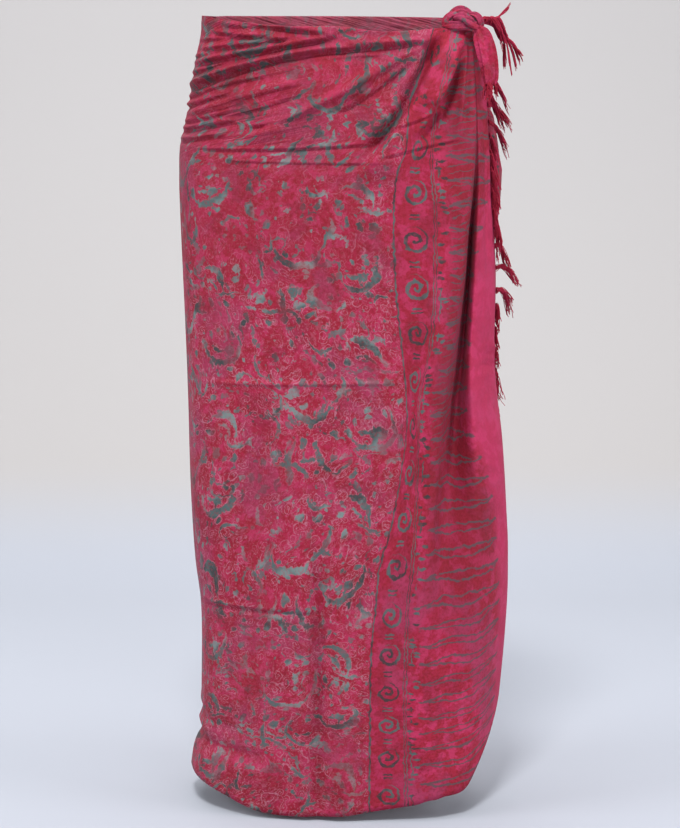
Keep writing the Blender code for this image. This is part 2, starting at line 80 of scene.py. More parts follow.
# Plan of the folded fall below the knot
# z, quarter_y, ridge_x, ridge_y, valley_x, valley_y, crest_x, crest_y,
# side_x, side_y, edge_x, edge_y
FALL = (
    (0.010, 0.101, 0.1590, 0.085, 0.162, 0.079, 0.1660, 0.076, 0.1690, 0.066, 0.1710, 0.058),
    (-0.060, 0.110, 0.1620, 0.101, 0.166, 0.092, 0.1710, 0.089, 0.1780, 0.074, 0.1810, 0.064),
    (-0.115, 0.115, 0.1630, 0.110, 0.168, 0.098, 0.1720, 0.096, 0.1810, 0.080, 0.1850, 0.068),
    (-0.163, 0.118, 0.1605, 0.114, 0.168, 0.098, 0.1730, 0.099, 0.1840, 0.080, 0.1880, 0.066),
    (-0.207, 0.120, 0.1570, 0.117, 0.166, 0.090, 0.1725, 0.100, 0.1850, 0.077, 0.1900, 0.060),
    (-0.246, 0.121, 0.1535, 0.119, 0.163, 0.080, 0.1705, 0.100, 0.1870, 0.073, 0.1940, 0.050),
    (-0.300, 0.122, 0.1490, 0.121, 0.161, 0.072, 0.1685, 0.099, 0.1910, 0.067, 0.1980, 0.038),
    (-0.343, 0.123, 0.1440, 0.122, 0.158, 0.071, 0.1665, 0.099, 0.1920, 0.062, 0.1985, 0.030),
    (-0.395, 0.124, 0.1365, 0.124, 0.154, 0.073, 0.1640, 0.099, 0.1930, 0.055, 0.1985, 0.018),
    (-0.427, 0.125, 0.1320, 0.125, 0.151, 0.076, 0.1640, 0.100, 0.1950, 0.049, 0.1995, 0.008),
    (-0.458, 0.125, 0.1285, 0.126, 0.147, 0.078, 0.1660, 0.101, 0.1990, 0.043, 0.2000, -0.004),
    (-0.510, 0.126, 0.1225, 0.127, 0.143, 0.081, 0.1700, 0.102, 0.2070, 0.033, 0.2000, -0.020),
    (-0.556, 0.127, 0.1190, 0.128, 0.139, 0.088, 0.1750, 0.099, 0.2110, 0.026, 0.2020, -0.032),
    (-0.620, 0.129, 0.1150, 0.130, 0.134, 0.102, 0.1770, 0.094, 0.2145, 0.020, 0.2060, -0.040),
    (-0.700, 0.131, 0.1125, 0.131, 0.131, 0.115, 0.1770, 0.092, 0.2180, 0.016, 0.2100, -0.044),
    (-0.770, 0.133, 0.1115, 0.133, 0.130, 0.121, 0.1740, 0.094, 0.2150, 0.018, 0.2070, -0.040),
    (-0.850, 0.136, 0.1115, 0.135, 0.130, 0.127, 0.1710, 0.098, 0.2080, 0.024, 0.2000, -0.030),
    (-0.950, 0.139, 0.1120, 0.137, 0.130, 0.131, 0.1660, 0.106, 0.1960, 0.042, 0.1900, -0.010),
)
# Places along a ring of the outer stretch, from the seam to the outer end
PLACES = (0.00, 0.035, 0.07, 0.13, 0.21, 0.31, 0.43, 0.60, 0.735, 0.80, 0.86, 0.93, 1.0)
OVAL_ANGLES = (171.0, 180.0, 202.0, 222.0, 244.0, 270.0)   # the places on the bare oval
OVAL_POWER = 2.2            # 2 is an ellipse; more is squarer
SEAM_Y = 0.050              # how far back the two stretches meet
QUARTER_X = 0.088           # where the ring leaves the oval for the fall
LAP_END_ANGLE = 246.0       # where the hidden end stops, in front
BACK_EDGE_ANGLE = 165.0     # last angle of the wound stretch's edge table

# How the columns of the outer stretch are shared out
# from_place, to_place, share
COLUMN_SPANS = (
    (0.0, 0.07, 0.05),
    (0.07, 0.31, 0.23),
    (0.31, 0.60, 0.25),
    (0.60, 0.735, 0.17),
    (0.735, 0.86, 0.18),
    (0.86, 1.0, 0.12),
)

# Edges of the outer stretch
# place, z of the top edge, z of the hem
FRONT_EDGES = (
    (0.000, 0.0215, -0.950),
    (0.070, 0.0205, -0.955),
    (0.130, 0.0170, -0.958),
    (0.210, 0.0120, -0.968),
    (0.310, 0.0040, -0.985),
    (0.430, 0.0035, -0.985),
    (0.520, -0.0030, -0.977),
    (0.600, -0.0015, -0.972),
    (0.660, 0.0012, -0.969),
    (0.735, -0.0011, -0.966),
    (0.800, -0.0015, -0.963),
    (0.860, -0.0030, -0.950),
    (0.930, -0.0030, -0.862),
    (1.000, -0.0030, -0.735),
)

# Edges of the wound stretch
# angle, z of the top edge, z of the hem
BACK_EDGES = (
    (-114.0, 0.000, -0.930),
    (-60.0, -0.004, -0.925),
    (-20.0, 0.010, -0.928),
    (20.0, 0.018, -0.935),
    (90.0, 0.024, -0.955),
    (150.0, 0.023, -0.952),
    (165.0, 0.0215, -0.950),
)

# Folds and creases of the outer stretch seen from the front
# name, from_x, from_z, to_x, to_z, bow, depth, above, below
FOLDS = (
    ("waist_tuck_1", -0.131, 0.009, -0.004, -0.011, 0.000, -0.0038, 0.0028, 0.0030),
    ("waist_tuck_2", -0.165, -0.004, -0.060, -0.015, 0.001, -0.0038, 0.0026, 0.0030),
    ("waist_tuck_3", -0.180, -0.027, -0.055, -0.013, 0.000, -0.0046, 0.0028, 0.0030),
    ("waist_tuck_4", -0.192, -0.045, 0.006, -0.011, 0.000, -0.0076, 0.0036, 0.0036),
    ("waist_swag_5", -0.200, -0.079, 0.016, -0.027, -0.010, -0.0082, 0.0042, 0.0050),
    ("waist_roll_6", -0.198, -0.106, -0.045, -0.062, -0.003, 0.0062, 0.0060, 0.0060),
    ("waist_tuck_7", -0.201, -0.098, -0.130, -0.080, 0.000, -0.0046, 0.0030, 0.0034),
    ("waist_tuck_8", -0.205, -0.127, -0.125, -0.114, 0.000, -0.0050, 0.0034, 0.0040),
    ("waist_swag_9", -0.125, -0.136, 0.048, -0.044, 0.005, 0.0088, 0.0026, 0.012),
    ("waist_tuck_10", -0.190, -0.148, 0.050, -0.141, 0.004, -0.0026, 0.0020, 0.0030),
    ("band_tuck_low", -0.016, -0.030, 0.112, -0.019, 0.000, -0.0062, 0.0034, 0.0044),
    ("band_roll", 0.000, -0.016, 0.110, -0.010, 0.000, 0.0030, 0.006, 0.006),
    ("knot_swag", 0.128, -0.001, -0.016, -0.092, 0.000, 0.0066, 0.009, 0.0040),
    ("knot_pleat_front", 0.134, 0.000, 0.016, -0.184, 0.015, 0.0110, 0.0045, 0.026),
    ("knot_pleat_next", 0.154, 0.000, 0.114, -0.100, 0.003, 0.0095, 0.014, 0.0034),
    ("knot_pleat_shadow", 0.122, -0.004, 0.030, -0.156, 0.010, -0.0110, 0.0080, 0.0045),
    ("knot_pleat_gap", 0.152, -0.034, 0.096, -0.138, 0.003, -0.0085, 0.0036, 0.0095),
    ("pleat_line_1", 0.052, -0.128, 0.128, -0.100, 0.001, -0.0020, 0.0018, 0.0024),
    ("pleat_line_2", 0.048, -0.160, 0.150, -0.136, -0.001, -0.0018, 0.0018, 0.0024),
    ("pleat_line_3", 0.090, -0.196, 0.156, -0.180, 0.000, -0.0014, 0.0018, 0.0024),
    ("shin_trough", -0.029, -0.640, -0.030, -1.010, 0.000, -0.0088, 0.009, 0.010),
    ("shin_roll", -0.003, -0.560, 0.004, -1.020, 0.000, 0.0060, 0.014, 0.014),
    ("top_edge_roll", -0.190, 0.013, 0.130, -0.006, 0.002, 0.0016, 0.003, 0.004),
    ("fine_1", -0.150, 0.004, -0.040, -0.004, 0.000, -0.0022, 0.0022, 0.0024),
    ("fine_2", -0.182, -0.014, -0.080, -0.008, 0.000, -0.0026, 0.0022, 0.0026),
    ("fine_3", -0.192, -0.036, -0.085, -0.019, -0.002, -0.0028, 0.0022, 0.0026),
    ("fine_4", -0.197, -0.058, -0.060, -0.026, -0.003, -0.0034, 0.0024, 0.0030),
    ("fine_5", -0.198, -0.068, -0.070, -0.034, -0.005, 0.0030, 0.0026, 0.0030),
    ("fine_6", -0.200, -0.088, -0.090, -0.060, -0.004, -0.0034, 0.0026, 0.0034),
    ("fine_7", -0.203, -0.117, -0.120, -0.098, 0.002, -0.0030, 0.0026, 0.0034),
    ("fine_8", -0.150, -0.112, -0.040, -0.078, 0.003, -0.0026, 0.0028, 0.0036),
    ("fine_9", -0.120, -0.122, -0.010, -0.086, 0.008, -0.0036, 0.0028, 0.0045),
    ("fine_10", -0.207, -0.139, -0.140, -0.131, 0.000, -0.0036, 0.0026, 0.0036),
    ("fine_11", -0.203, -0.160, 0.060, -0.166, 0.002, -0.0016, 0.0018, 0.0026),
    ("fine_12", -0.060, -0.040, 0.060, -0.034, 0.000, -0.0022, 0.0026, 0.0034),
    ("fine_13", 0.000, -0.022, 0.110, -0.015, 0.000, -0.0020, 0.0022, 0.0028),
    ("fine_14", 0.100, -0.030, -0.010, -0.108, 0.006, -0.0040, 0.0034, 0.0045),
    ("fine_15", 0.124, -0.020, 0.030, -0.128, 0.010, 0.0036, 0.0045, 0.0050),
    ("fine_16", 0.148, -0.012, 0.124, -0.120, 0.002, -0.0040, 0.0030, 0.0050),
    ("fine_17", 0.160, -0.006, 0.152, -0.120, 0.001, -0.0042, 0.0030, 0.0034),
    ("fine_18", 0.157, -0.004, 0.142, -0.150, 0.002, 0.0038, 0.0034, 0.0036),
    ("pleat_tail", 0.075, -0.125, 0.058, -0.290, 0.004, 0.0026, 0.012, 0.016),
    ("pleat_step", 0.116, -0.300, 0.094, -0.560, 0.004, 0.0045, 0.005, 0.016),
    ("pleat_step_low", 0.098, -0.540, 0.100, -0.960, 0.000, 0.0028, 0.009, 0.013),
    ("border_sink", 0.101, -0.120, 0.104, -0.380, 0.000, -0.0026, 0.011, 0.009),
    ("pack_line_high", -0.192, -0.438, 0.086, -0.434, 0.001, 0.0024, 0.0026, 0.0032),
    ("pack_line_low", -0.188, -0.727, -0.020, -0.729, 0.000, -0.0030, 0.0030, 0.0036),
    ("pack_line_mid", -0.185, -0.585, -0.060, -0.590, 0.000, -0.0014, 0.003, 0.005),
    ("caught_side", -0.200, -0.902, -0.090, -0.914, 0.003, -0.0045, 0.007, 0.009),
    ("caught_side_high", -0.195, -0.872, -0.120, -0.884, 0.003, -0.0022, 0.006, 0.008),
    ("drape_1", -0.150, -0.230, -0.165, -0.640, 0.004, 0.0020, 0.018, 0.020),
    ("drape_2", -0.110, -0.280, -0.120, -0.900, 0.003, -0.0018, 0.018, 0.018),
    ("drape_3", -0.060, -0.200, -0.070, -0.700, 0.002, 0.0016, 0.020, 0.020),
    ("drape_4", 0.010, -0.230, 0.030, -0.760, -0.004, -0.0016, 0.016, 0.018),
    ("drape_5", 0.052, -0.500, 0.040, -0.960, 0.000, 0.0022, 0.012, 0.014),
    ("drape_6", -0.080, -0.780, -0.090, -0.985, 0.000, 0.0026, 0.014, 0.014),
    ("drape_7", -0.140, -0.700, -0.150, -0.930, 0.002, -0.0026, 0.012, 0.014),
    ("ridge_crimp", 0.146, -0.180, 0.140, -0.360, 0.001, 0.0012, 0.006, 0.006),
)
FOLD_END = 0.16             # share of a fold over which it fades out at each end
FOLD_LAST_PLACE = 0.765     # the folds end here and the fall's own creases take over
FOLD_LAST_SPAN = 0.05
FOLD_LIP = 0.60             # height of the roll above a crease, as a share of the crease's depth
FOLD_LIP_RISE = 1.7         # how far above the crease it lies, in widths of the crease
PACK_HEIGHTS = (-0.438, -0.727)     # creases left where the cloth lay folded in its pack
PACK_REACH = 0.010          # rows stand closer within this distance of them
PACK_CROWD = 4              # how much closer
LOWEST_HEM = 0.97

# Creases of the fall, by place along the ring
# name, from_place, from_z, to_place, to_z, depth, half width
FALL_CREASES = (
    ("strip_crimp_1", 0.868, -0.402, 0.975, -0.404, -0.0016, 0.0030),
    ("strip_crimp_2", 0.900, -0.392, 0.985, -0.401, 0.0016, 0.0030),
    ("strip_crimp_3", 0.880, -0.414, 0.985, -0.424, -0.0019, 0.0035),
    ("strip_crimp_4", 0.860, -0.428, 0.950, -0.436, 0.0010, 0.0035),
    ("strip_long_1", 0.905, -0.080, 0.915, -0.330, -0.0016, 0.0045),
    ("strip_long_2", 0.950, -0.100, 0.955, -0.300, 0.0014, 0.0040),
    ("strip_long_3", 0.900, -0.440, 0.930, -0.700, 0.0022, 0.0110),
    ("strip_tuck_1", 0.930, -0.140, 0.990, -0.158, -0.0015, 0.0030),
    ("strip_tuck_2", 0.930, -0.200, 0.990, -0.212, -0.0013, 0.0030),
    ("strip_tuck_3", 0.880, -0.250, 0.985, -0.268, -0.0012, 0.0040),
    ("low_sway_1", 0.800, -0.600, 0.820, -0.960, -0.0022, 0.0120),
    ("low_sway_2", 0.870, -0.620, 0.880, -0.940, 0.0026, 0.0150),
)
PLACE_METRES = 0.60         # length of a whole ring of places, about
CREASE_END = 0.25           # share of a straight crease over which it fades out at each end

# Soft folds and creases of the wound stretch; angles from the tied side
# name, angle, width in degrees, from_z, to_z, depth
BACK_FOLDS = (
    ("hip_roll", 22.0, 9.0, -0.18, -0.90, 0.0050),
    ("hip_trough", 44.0, 8.0, -0.22, -0.95, -0.0060),
    ("seat_roll", 68.0, 10.0, -0.25, -0.98, 0.0060),
    ("seat_trough", 93.0, 9.0, -0.24, -0.99, -0.0060),
    ("far_roll", 116.0, 10.0, -0.30, -0.98, 0.0050),
)

# Straight creases of the wound stretch
# name, from_angle, from_z, to_angle, to_z, depth, half width
BACK_CREASES = (
    ("waist_1", 160.0, 0.004, 96.0, 0.006, -0.0024, 0.0040),
    ("waist_2", 164.0, -0.016, 80.0, -0.004, -0.0030, 0.0045),
    ("waist_3", 164.0, -0.034, 104.0, -0.020, -0.0026, 0.0040),
    ("waist_4", 158.0, -0.052, 60.0, -0.022, -0.0038, 0.0050),
    ("waist_5", 162.0, -0.078, 88.0, -0.046, -0.0036, 0.0055),
    ("waist_6", 164.0, -0.104, 112.0, -0.080, 0.0030, 0.0060),
    ("waist_7", 156.0, -0.128, 92.0, -0.100, -0.0028, 0.0055),
    ("waist_8", 118.0, -0.060, 38.0, -0.024, -0.0030, 0.0050),
    ("waist_9", 84.0, -0.066, 20.0, -0.030, 0.0030, 0.0060),
    ("waist_10", 60.0, -0.058, -8.0, -0.022, -0.0036, 0.0050),
    ("waist_11", 44.0, -0.092, -12.0, -0.050, 0.0030, 0.0065),
    ("waist_12", 30.0, -0.122, -24.0, -0.082, -0.0030, 0.0055),
    ("waist_13", 72.0, -0.120, 22.0, -0.104, -0.0022, 0.0055),
    ("hip_1", 16.0, -0.108, -30.0, -0.138, -0.0022, 0.0045),
    ("hip_2", 20.0, -0.168, -26.0, -0.176, 0.0018, 0.0045),
    ("pack_high", 164.0, -0.438, 10.0, -0.436, 0.0012, 0.0035),
    ("pack_low", 160.0, -0.728, 30.0, -0.724, -0.0014, 0.0040),
)

HIP_RADIUS = 0.16           # turns an angle of the wound stretch into metres

# Where the two lines of the border lie on the front
# z, x of the field's line, x of the double line
BORDER_LINES = (
    (0.010, 0.1180, 0.1400),
    (-0.050, 0.1000, 0.1300),
    (-0.095, 0.0847, 0.1190),
    (-0.147, 0.0812, 0.1125),
    (-0.172, 0.0714, 0.1130),
    (-0.209, 0.0666, 0.1171),
    (-0.270, 0.0665, 0.1175),
    (-0.322, 0.0694, 0.1170),
    (-0.383, 0.0758, 0.1125),
    (-0.410, 0.0790, 0.1070),
    (-0.457, 0.0835, 0.0975),
    (-0.495, 0.0837, 0.0970),
    (-0.558, 0.0751, 0.0955),
    (-0.622, 0.0628, 0.0930),
    (-0.665, 0.0500, 0.0905),
    (-0.711, 0.0454, 0.0850),
    (-0.776, 0.0392, 0.0830),
    (-0.840, 0.0380, 0.0815),
    (-0.975, 0.0370, 0.0842),
)
BAND_WIDTH = 0.045          # between the two lines, on the cloth
FAR_BORDER = -0.86          # the far border's line, from the near one, where the print turns round
HIDDEN_CLOTH = 0.050        # cloth lost in the valley of the fall, high up
HIDDEN_END = (0.75, 0.30)   # depth by which none is lost, and the height over which it eases in
HIDDEN_PLACE = (0.745, 0.10)
HEM_FOLLOW = 0.35           # how far the print rises with the hem at the fall
HEM_LEVEL = 0.966           # depth of the hem before the fall
HEM_PLACE = 0.7             # only past this place
HEM_DEPTHS = (0.45, 0.40)   # depth at which the rise starts, and the height over which it eases in

# Height of each spiral of the border, from the top
SPIRAL_STEP = 0.0545
SPIRAL_ABOVE = 2            # spirals above the waist opening's level
SPIRAL_HEIGHTS = (
    0.030, -0.030, -0.0888, -0.1445, -0.2000, -0.2579, -0.3173, -0.3732, -0.4310, -0.4890,
    -0.5480, -0.6070, -0.6663, -0.7292, -0.7782, -0.8261, -0.8677, -0.9095, -0.9579, -1.0060,
)

# Field motifs of one repeat, as tapered arcs, in millimetres and degrees
# x, y, radius, middle, half_sweep, half_width
MOTIFS = (
    (72, 115, 30, -95, 74, 4.8),
    (82, 125, 29, -20, 38, 3.6),
    (143, 82, 29, -64, 90, 4.2),
    (141, 100, 30, -90, 15, 3.0),
    (104, 32, 60, 180, 22, 4.4),
    (49, 8, 19, 50, 56, 3.2),
    (35, 68, 40, -90, 16, 2.4),
    (68, 72, 40, -90, 12, 2.8),
    (110, 51, 30, 218, 50, 3.8),
    (106, 33, 14, -40, 52, 2.6),
    (137, 147, 26, 54, 66, 5.2),
    (134, 140, 18, 50, 40, 2.4),
    (164, 196, 58, -90, 18, 2.2),
    (113, 160, 50, -90, 12, 2.6),
    (170, 60, 18, 150, 46, 2.4),
    (20, 108, 20, -30, 50, 2.6),
    (24, 150, 17, 200, 58, 3.0),
    (96, 176, 17, 250, 60, 3.0),
    (178, 30, 14, 120, 70, 2.2),
    (12, 70, 15, 20, 60, 2.2),
)

# Round blobs of the same repeat: x, y, radius
BLOBS = (
    (119, 69, 5.6), (154, 71, 6.4), (62, 52, 6.6), (76, 34, 3.8), (45, 14, 6.0), (70, 12, 3.8),
    (28, 13, 3.6), (163, 124, 5.6), (76, 148, 4.6), (98, 147, 4.4), (122, 149, 4.4), (85, 130, 3.8),
    (132, 125, 4.4), (148, 124, 3.8), (102, 64, 4.4), (72, 77, 4.0), (60, 99, 3.6), (100, 40, 3.6),
    (109, 42, 3.0), (24, 41, 4.2), (83, 18, 3.8), (158, 47, 3.4), (162, 91, 3.6), (142, 91, 2.8),
    (173, 14, 2.8), (52, 168, 3.6), (36, 128, 3.4), (8, 30, 4.0), (130, 14, 3.8), (184, 100, 3.6),
    (6, 172, 4.2), (150, 172, 3.2),
)

# Pale wax curls of the same repeat, laid out as the motifs are
CURLS = (
    (40, 91, 14, 185, 70, 0.9),
    (57, 118, 9, 80, 150, 0.9),
    (57, 117, 4, -60, 150, 0.8),
    (82, 24, 8, 90, 150, 0.9),
    (136, 107, 8, 40, 150, 0.9),
    (138, 34, 7, 200, 150, 0.9),
    (176, 38, 8, 70, 160, 0.9),
    (18, 43, 6, 150, 160, 0.8),
    (182, 76, 13, 180, 60, 0.9),
    (150, 100, 6, 20, 110, 0.9),
    (112, 92, 10, 200, 90, 0.9),
    (30, 172, 8, 30, 150, 0.9),
    (118, 170, 8, 300, 150, 0.9),
    (74, 163, 7, 120, 150, 0.8),
    (170, 158, 9, 240, 140, 0.9),
    (93, 3, 9, 20, 130, 0.9),
)
REPEAT_WIDTH = 0.190
REPEAT_HEIGHT = 0.182

# Knot and tails, one row for each place along a roll
# x, y, z, half width across, half width through
ROLLS = {
    "loop": (
        (0.1330, -0.0820, 0.0085, 0.0046, 0.0042),
        (0.1395, -0.0810, 0.0190, 0.0062, 0.0056),
        (0.1492, -0.0800, 0.0232, 0.0068, 0.0062),
        (0.1590, -0.0790, 0.0180, 0.0062, 0.0056),
        (0.1650, -0.0790, 0.0080, 0.0046, 0.0042),
    ),
    "left_lobe": (
        (0.1450, -0.0880, 0.0190, 0.0036, 0.0036),
        (0.1365, -0.0910, 0.0160, 0.0056, 0.0056),
        (0.1310, -0.0905, 0.0095, 0.0064, 0.0060),
        (0.1300, -0.0880, 0.0015, 0.0050, 0.0046),
    ),
    "right_lobe": (
        (0.1590, -0.0890, 0.0185, 0.0036, 0.0036),
        (0.1665, -0.0905, 0.0165, 0.0060, 0.0056),
        (0.1712, -0.0900, 0.0095, 0.0066, 0.0060),
        (0.1725, -0.0880, 0.0010, 0.0050, 0.0046),
    ),
    "middle": (
        (0.1400, -0.0930, 0.0140, 0.0042, 0.0040),
        (0.1480, -0.0985, 0.0145, 0.0064, 0.0054),
        (0.1560, -0.0985, 0.0120, 0.0064, 0.0054),
        (0.1640, -0.0940, 0.0085, 0.0046, 0.0044),
    ),
    "band": (
        (0.1265, -0.0860, 0.0050, 0.0040, 0.0040),
        (0.1330, -0.0920, 0.0050, 0.0066, 0.0052),
        (0.1450, -0.0960, 0.0045, 0.0068, 0.0060),
        (0.1570, -0.0950, 0.0050, 0.0066, 0.0060),
        (0.1690, -0.0880, 0.0060, 0.0066, 0.0056),
        (0.1745, -0.0800, 0.0070, 0.0046, 0.0042),
    ),
    "core": (
        (0.1320, -0.0800, 0.0085, 0.0050, 0.0050),
        (0.1400, -0.0820, 0.0095, 0.0088, 0.0090),
        (0.1600, -0.0820, 0.0095, 0.0088, 0.0090),
        (0.1700, -0.0790, 0.0085, 0.0050, 0.0050),
    ),
    "strand": (
        (0.1505, -0.1020, 0.0135, 0.0024, 0.0024),
        (0.1560, -0.1040, 0.0085, 0.0036, 0.0034),
        (0.1630, -0.1015, 0.0040, 0.0042, 0.0036),
        (0.1700, -0.0970, 0.0015, 0.0040, 0.0036),
    ),
    "long_tail": (
        (0.1690, -0.0960, 0.0035, 0.0056, 0.0038),
        (0.1750, -0.1000, -0.0070, 0.0120, 0.0052),
        (0.1795, -0.1025, -0.0210, 0.0134, 0.0056),
        (0.1830, -0.1030, -0.0390, 0.0126, 0.0056),
        (0.1850, -0.1020, -0.0560, 0.0108, 0.0052),
        (0.1845, -0.1010, -0.0680, 0.0090, 0.0042),
    ),
    "short_tail": (
        (0.1735, -0.0785, 0.0112, 0.0036, 0.0032),
        (0.1850, -0.0735, 0.0110, 0.0054, 0.0040),
        (0.1930, -0.0705, 0.0070, 0.0062, 0.0044),
        (0.1990, -0.0690, -0.0020, 0.0066, 0.0046),
        (0.2030, -0.0680, -0.0130, 0.0054, 0.0040),
    ),
}

ROLL_TIP = 0.65             # width of a roll's rounded end, as a share of its table's

# Tassels along the outer end: height of the root, how far out and down each reaches, how arched
# z, reach, drop, curl
TASSELS = (
    (-0.058, 0.036, 0.032, 0.3),
    (-0.078, 0.016, 0.030, 0.2),
    (-0.092, 0.031, 0.027, 0.3),
    (-0.114, 0.029, 0.028, 0.1),
    (-0.130, 0.012, 0.034, 0.1),
    (-0.150, 0.009, 0.036, 0.1),
    (-0.172, 0.008, 0.034, 0.2),
    (-0.196, 0.009, 0.034, 0.1),
    (-0.220, 0.008, 0.030, 0.2),
    (-0.242, 0.010, 0.032, 0.9),
    (-0.270, 0.020, 0.026, 0.9),
    (-0.298, 0.032, 0.022, 0.9),
    (-0.327, 0.027, 0.020, 0.8),
    (-0.348, 0.006, 0.022, 0.9),
    (-0.376, 0.004, 0.026, 0.4),
    (-0.404, 0.007, 0.026, 0.4),
    (-0.432, 0.008, 0.026, 0.3),
    (-0.462, 0.008, 0.026, 0.3),
    (-0.492, 0.007, 0.028, 0.3),
    (-0.522, 0.008, 0.026, 0.2),
    (-0.552, 0.007, 0.028, 0.3),
    (-0.582, 0.008, 0.026, 0.3),
    (-0.612, 0.007, 0.026, 0.2),
    (-0.642, 0.008, 0.026, 0.3),
    (-0.672, 0.007, 0.028, 0.2),
    (-0.702, 0.008, 0.026, 0.3),
)

# Twisted strands lying over the short tail
# root, reach, drop
TAIL_STRANDS = (
    ((0.1760, -0.0815, 0.0130), (0.024, 0.006, 0.0), 0.014),
    ((0.1800, -0.0800, 0.0120), (0.024, 0.006, 0.0), 0.024),
    ((0.1860, -0.0785, 0.0090), (0.016, 0.004, 0.0), 0.026),
    ((0.1900, -0.0770, 0.0120), (0.015, 0.004, 0.0), 0.024),
)
FRINGE_FROM = 0.985         # place from which the cloth's way out to its end is taken
FRINGE_TURN = -0.40         # below this height the fringe hangs back round the side
FRINGE_LEANS = (1.0, 0.2)   # how far it leans forward above and below that height

# Locks at the tails' tips: how far each leans out and how far it drops
# x, y, drop
LONG_TAIL_LOCKS = (
    (0.004, 0.001, 0.012),
    (0.001, -0.002, 0.016),
    (-0.002, -0.002, 0.018),
    (-0.004, 0.0, 0.011),
)
SHORT_TAIL_LOCKS = (
    (0.013, 0.001, 0.034),
    (0.008, -0.002, 0.036),
    (0.003, 0.001, 0.032),
    (0.017, 0.0, 0.024),
)
LOCK_STEPS = 10             # lengths that a thread is drawn in
LOCK_SPLIT = 0.35           # share of a lock after which its threads part into smaller locks
LOCK_SPREAD = 1.6           # how far they part, in widths of the lock
LOCK_NECK = 0.2             # share of a lock at which its knot draws it in
LOCK_FRAY = 0.75            # share of a lock after which it frays

FLOOR_Z = -0.992

# name, place, target, width and height, watts, colour
LIGHTS = (
    ("key", (-0.30, -2.3, 3.0), (0, 0, -0.4), (0.7, 0.7), 124.0, (1.0, 0.99, 0.98)),
    ("front", (1.4, -3.4, 0.2), (0, 0, -0.6), (1.8, 1.8), 38.0, (0.98, 0.99, 1.0)),
    ("left_side", (-2.6, -1.0, 0.4), (0, 0, -0.5), (1.2, 2.2), 44.0, (0.95, 0.98, 1.0)),
    ("right_side", (2.4, -1.0, 0.2), (0, 0, -0.5), (1.2, 2.2), 34.0, (0.98, 0.98, 1.0)),
    ("floor", (0.0, 0.2, 2.2), (0, 0.7, -1.0), (3.4, 1.6), 48.0, (1.0, 1.0, 1.0)),
    ("back", (-0.6, 2.1, 1.3), (0, 0.1, -0.4), (1.6, 0.8), 14.0, (1.0, 1.0, 1.0)),
    ("wall", (0.0, 0.8, 1.4), (0, 2.4, 0.2), (3.6, 1.0), 11.0, (1.0, 0.99, 0.98)),
)
CAMERA_PLACE = (0.0, -3.0, -0.10)
PHOTO_HEIGHT = 828.0        # pixels
PHOTO_FOCUS = 2331.0        # focal length, in the same pixels
SENSOR = 36.0               # millimetres
LOOK_DOWN = 7.4             # degrees below level


def tangents(knots, rows):
    """Slope of a smooth curve at each knot."""
    slope = np.zeros_like(rows)
    shape = (-1,) + (1,) * (rows.ndim - 1)
    slope[1:-1] = (rows[2:] - rows[:-2]) / (knots[2:] - knots[:-2]).reshape(shape)
    slope[0] = (rows[1] - rows[0]) / (knots[1] - knots[0])
    slope[-1] = (rows[-1] - rows[-2]) / (knots[-1] - knots[-2])
    return slope


def blend(u, span, first, last, leave, arrive):
    """Cubic between two knots."""
    square = u * u
    cube = square * u
    near = (2 * cube - 3 * square + 1) * first + (cube - 2 * square + u) * span * leave
    far = (3 * square - 2 * cube) * last + (cube - square) * span * arrive
    return near + far


def table_curve(table, at):
    """Read a table smoothly: first column is the knot, the others are the answers."""
    rows = np.array(table)
    rows = rows[np.argsort(rows[:, 0])]
    knots = rows[:, 0]
    values = rows[:, 1:]
    slope = tangents(knots, values)
    at = np.clip(at, knots[0], knots[-1])
    low = np.clip(np.searchsorted(knots, at) - 1, 0, len(knots) - 2)
    span = (knots[low + 1] - knots[low])[:, None]
    u = (at - knots[low])[:, None] / span
    return blend(u, span, values[low], values[low + 1], slope[low], slope[low + 1])


def ease(value):
    """Smooth step of a value already between 0 and 1, clipped to it."""
    value = np.clip(value, 0, 1)
    return value * value * (3 - 2 * value)


def oval(degrees, left, right, front, back):
    """Place on a ring whose four half axes differ."""
    across = np.cos(np.radians(degrees))
    deep = np.sin(np.radians(degrees))
    x_half = np.where(across < 0, left, right)
    y_half = np.where(deep < 0, front, back)
    x = x_half * np.sign(across) * np.abs(across) ** (2 / OVAL_POWER)
    y = y_half * np.sign(deep) * np.abs(deep) ** (2 / OVAL_POWER)
    return np.column_stack((x, y))


def seam_x(left, back):
    """Where the ring crosses the seam on the plain side."""
    return -left * (1 - (SEAM_Y / back) ** OVAL_POWER) ** (1 / OVAL_POWER)


def front_plan(place, z):
    """Bare plan of the outer stretch."""
    body = table_curve(BODY, z)
    fall = table_curve(FALL, z)
    left, right, front, back = body[:, 0], body[:, 1], body[:, 2], body[:, 3]
    stops = [np.column_stack((seam_x(left, back), np.full_like(z, SEAM_Y)))]
    for angle in OVAL_ANGLES:
        stops.append(oval(np.full_like(z, angle), left, right, front, back))
    stops.append(np.column_stack((np.full_like(z, QUARTER_X), -fall[:, 0])))
    for column in range(1, 11, 2):
        stops.append(np.column_stack((fall[:, column], -fall[:, column + 1])))
    stops = np.array(stops)
    knots = np.array(PLACES)
    slope = tangents(knots, stops)
    low = np.clip(np.searchsorted(knots, place) - 1, 0, len(knots) - 2)
    each = np.arange(len(z))
    span = (knots[low + 1] - knots[low])[:, None]
    u = (place - knots[low])[:, None] / span
    near, far = (low, each), (low + 1, each)
    return blend(u, span, stops[near], stops[far], slope[near], slope[far])


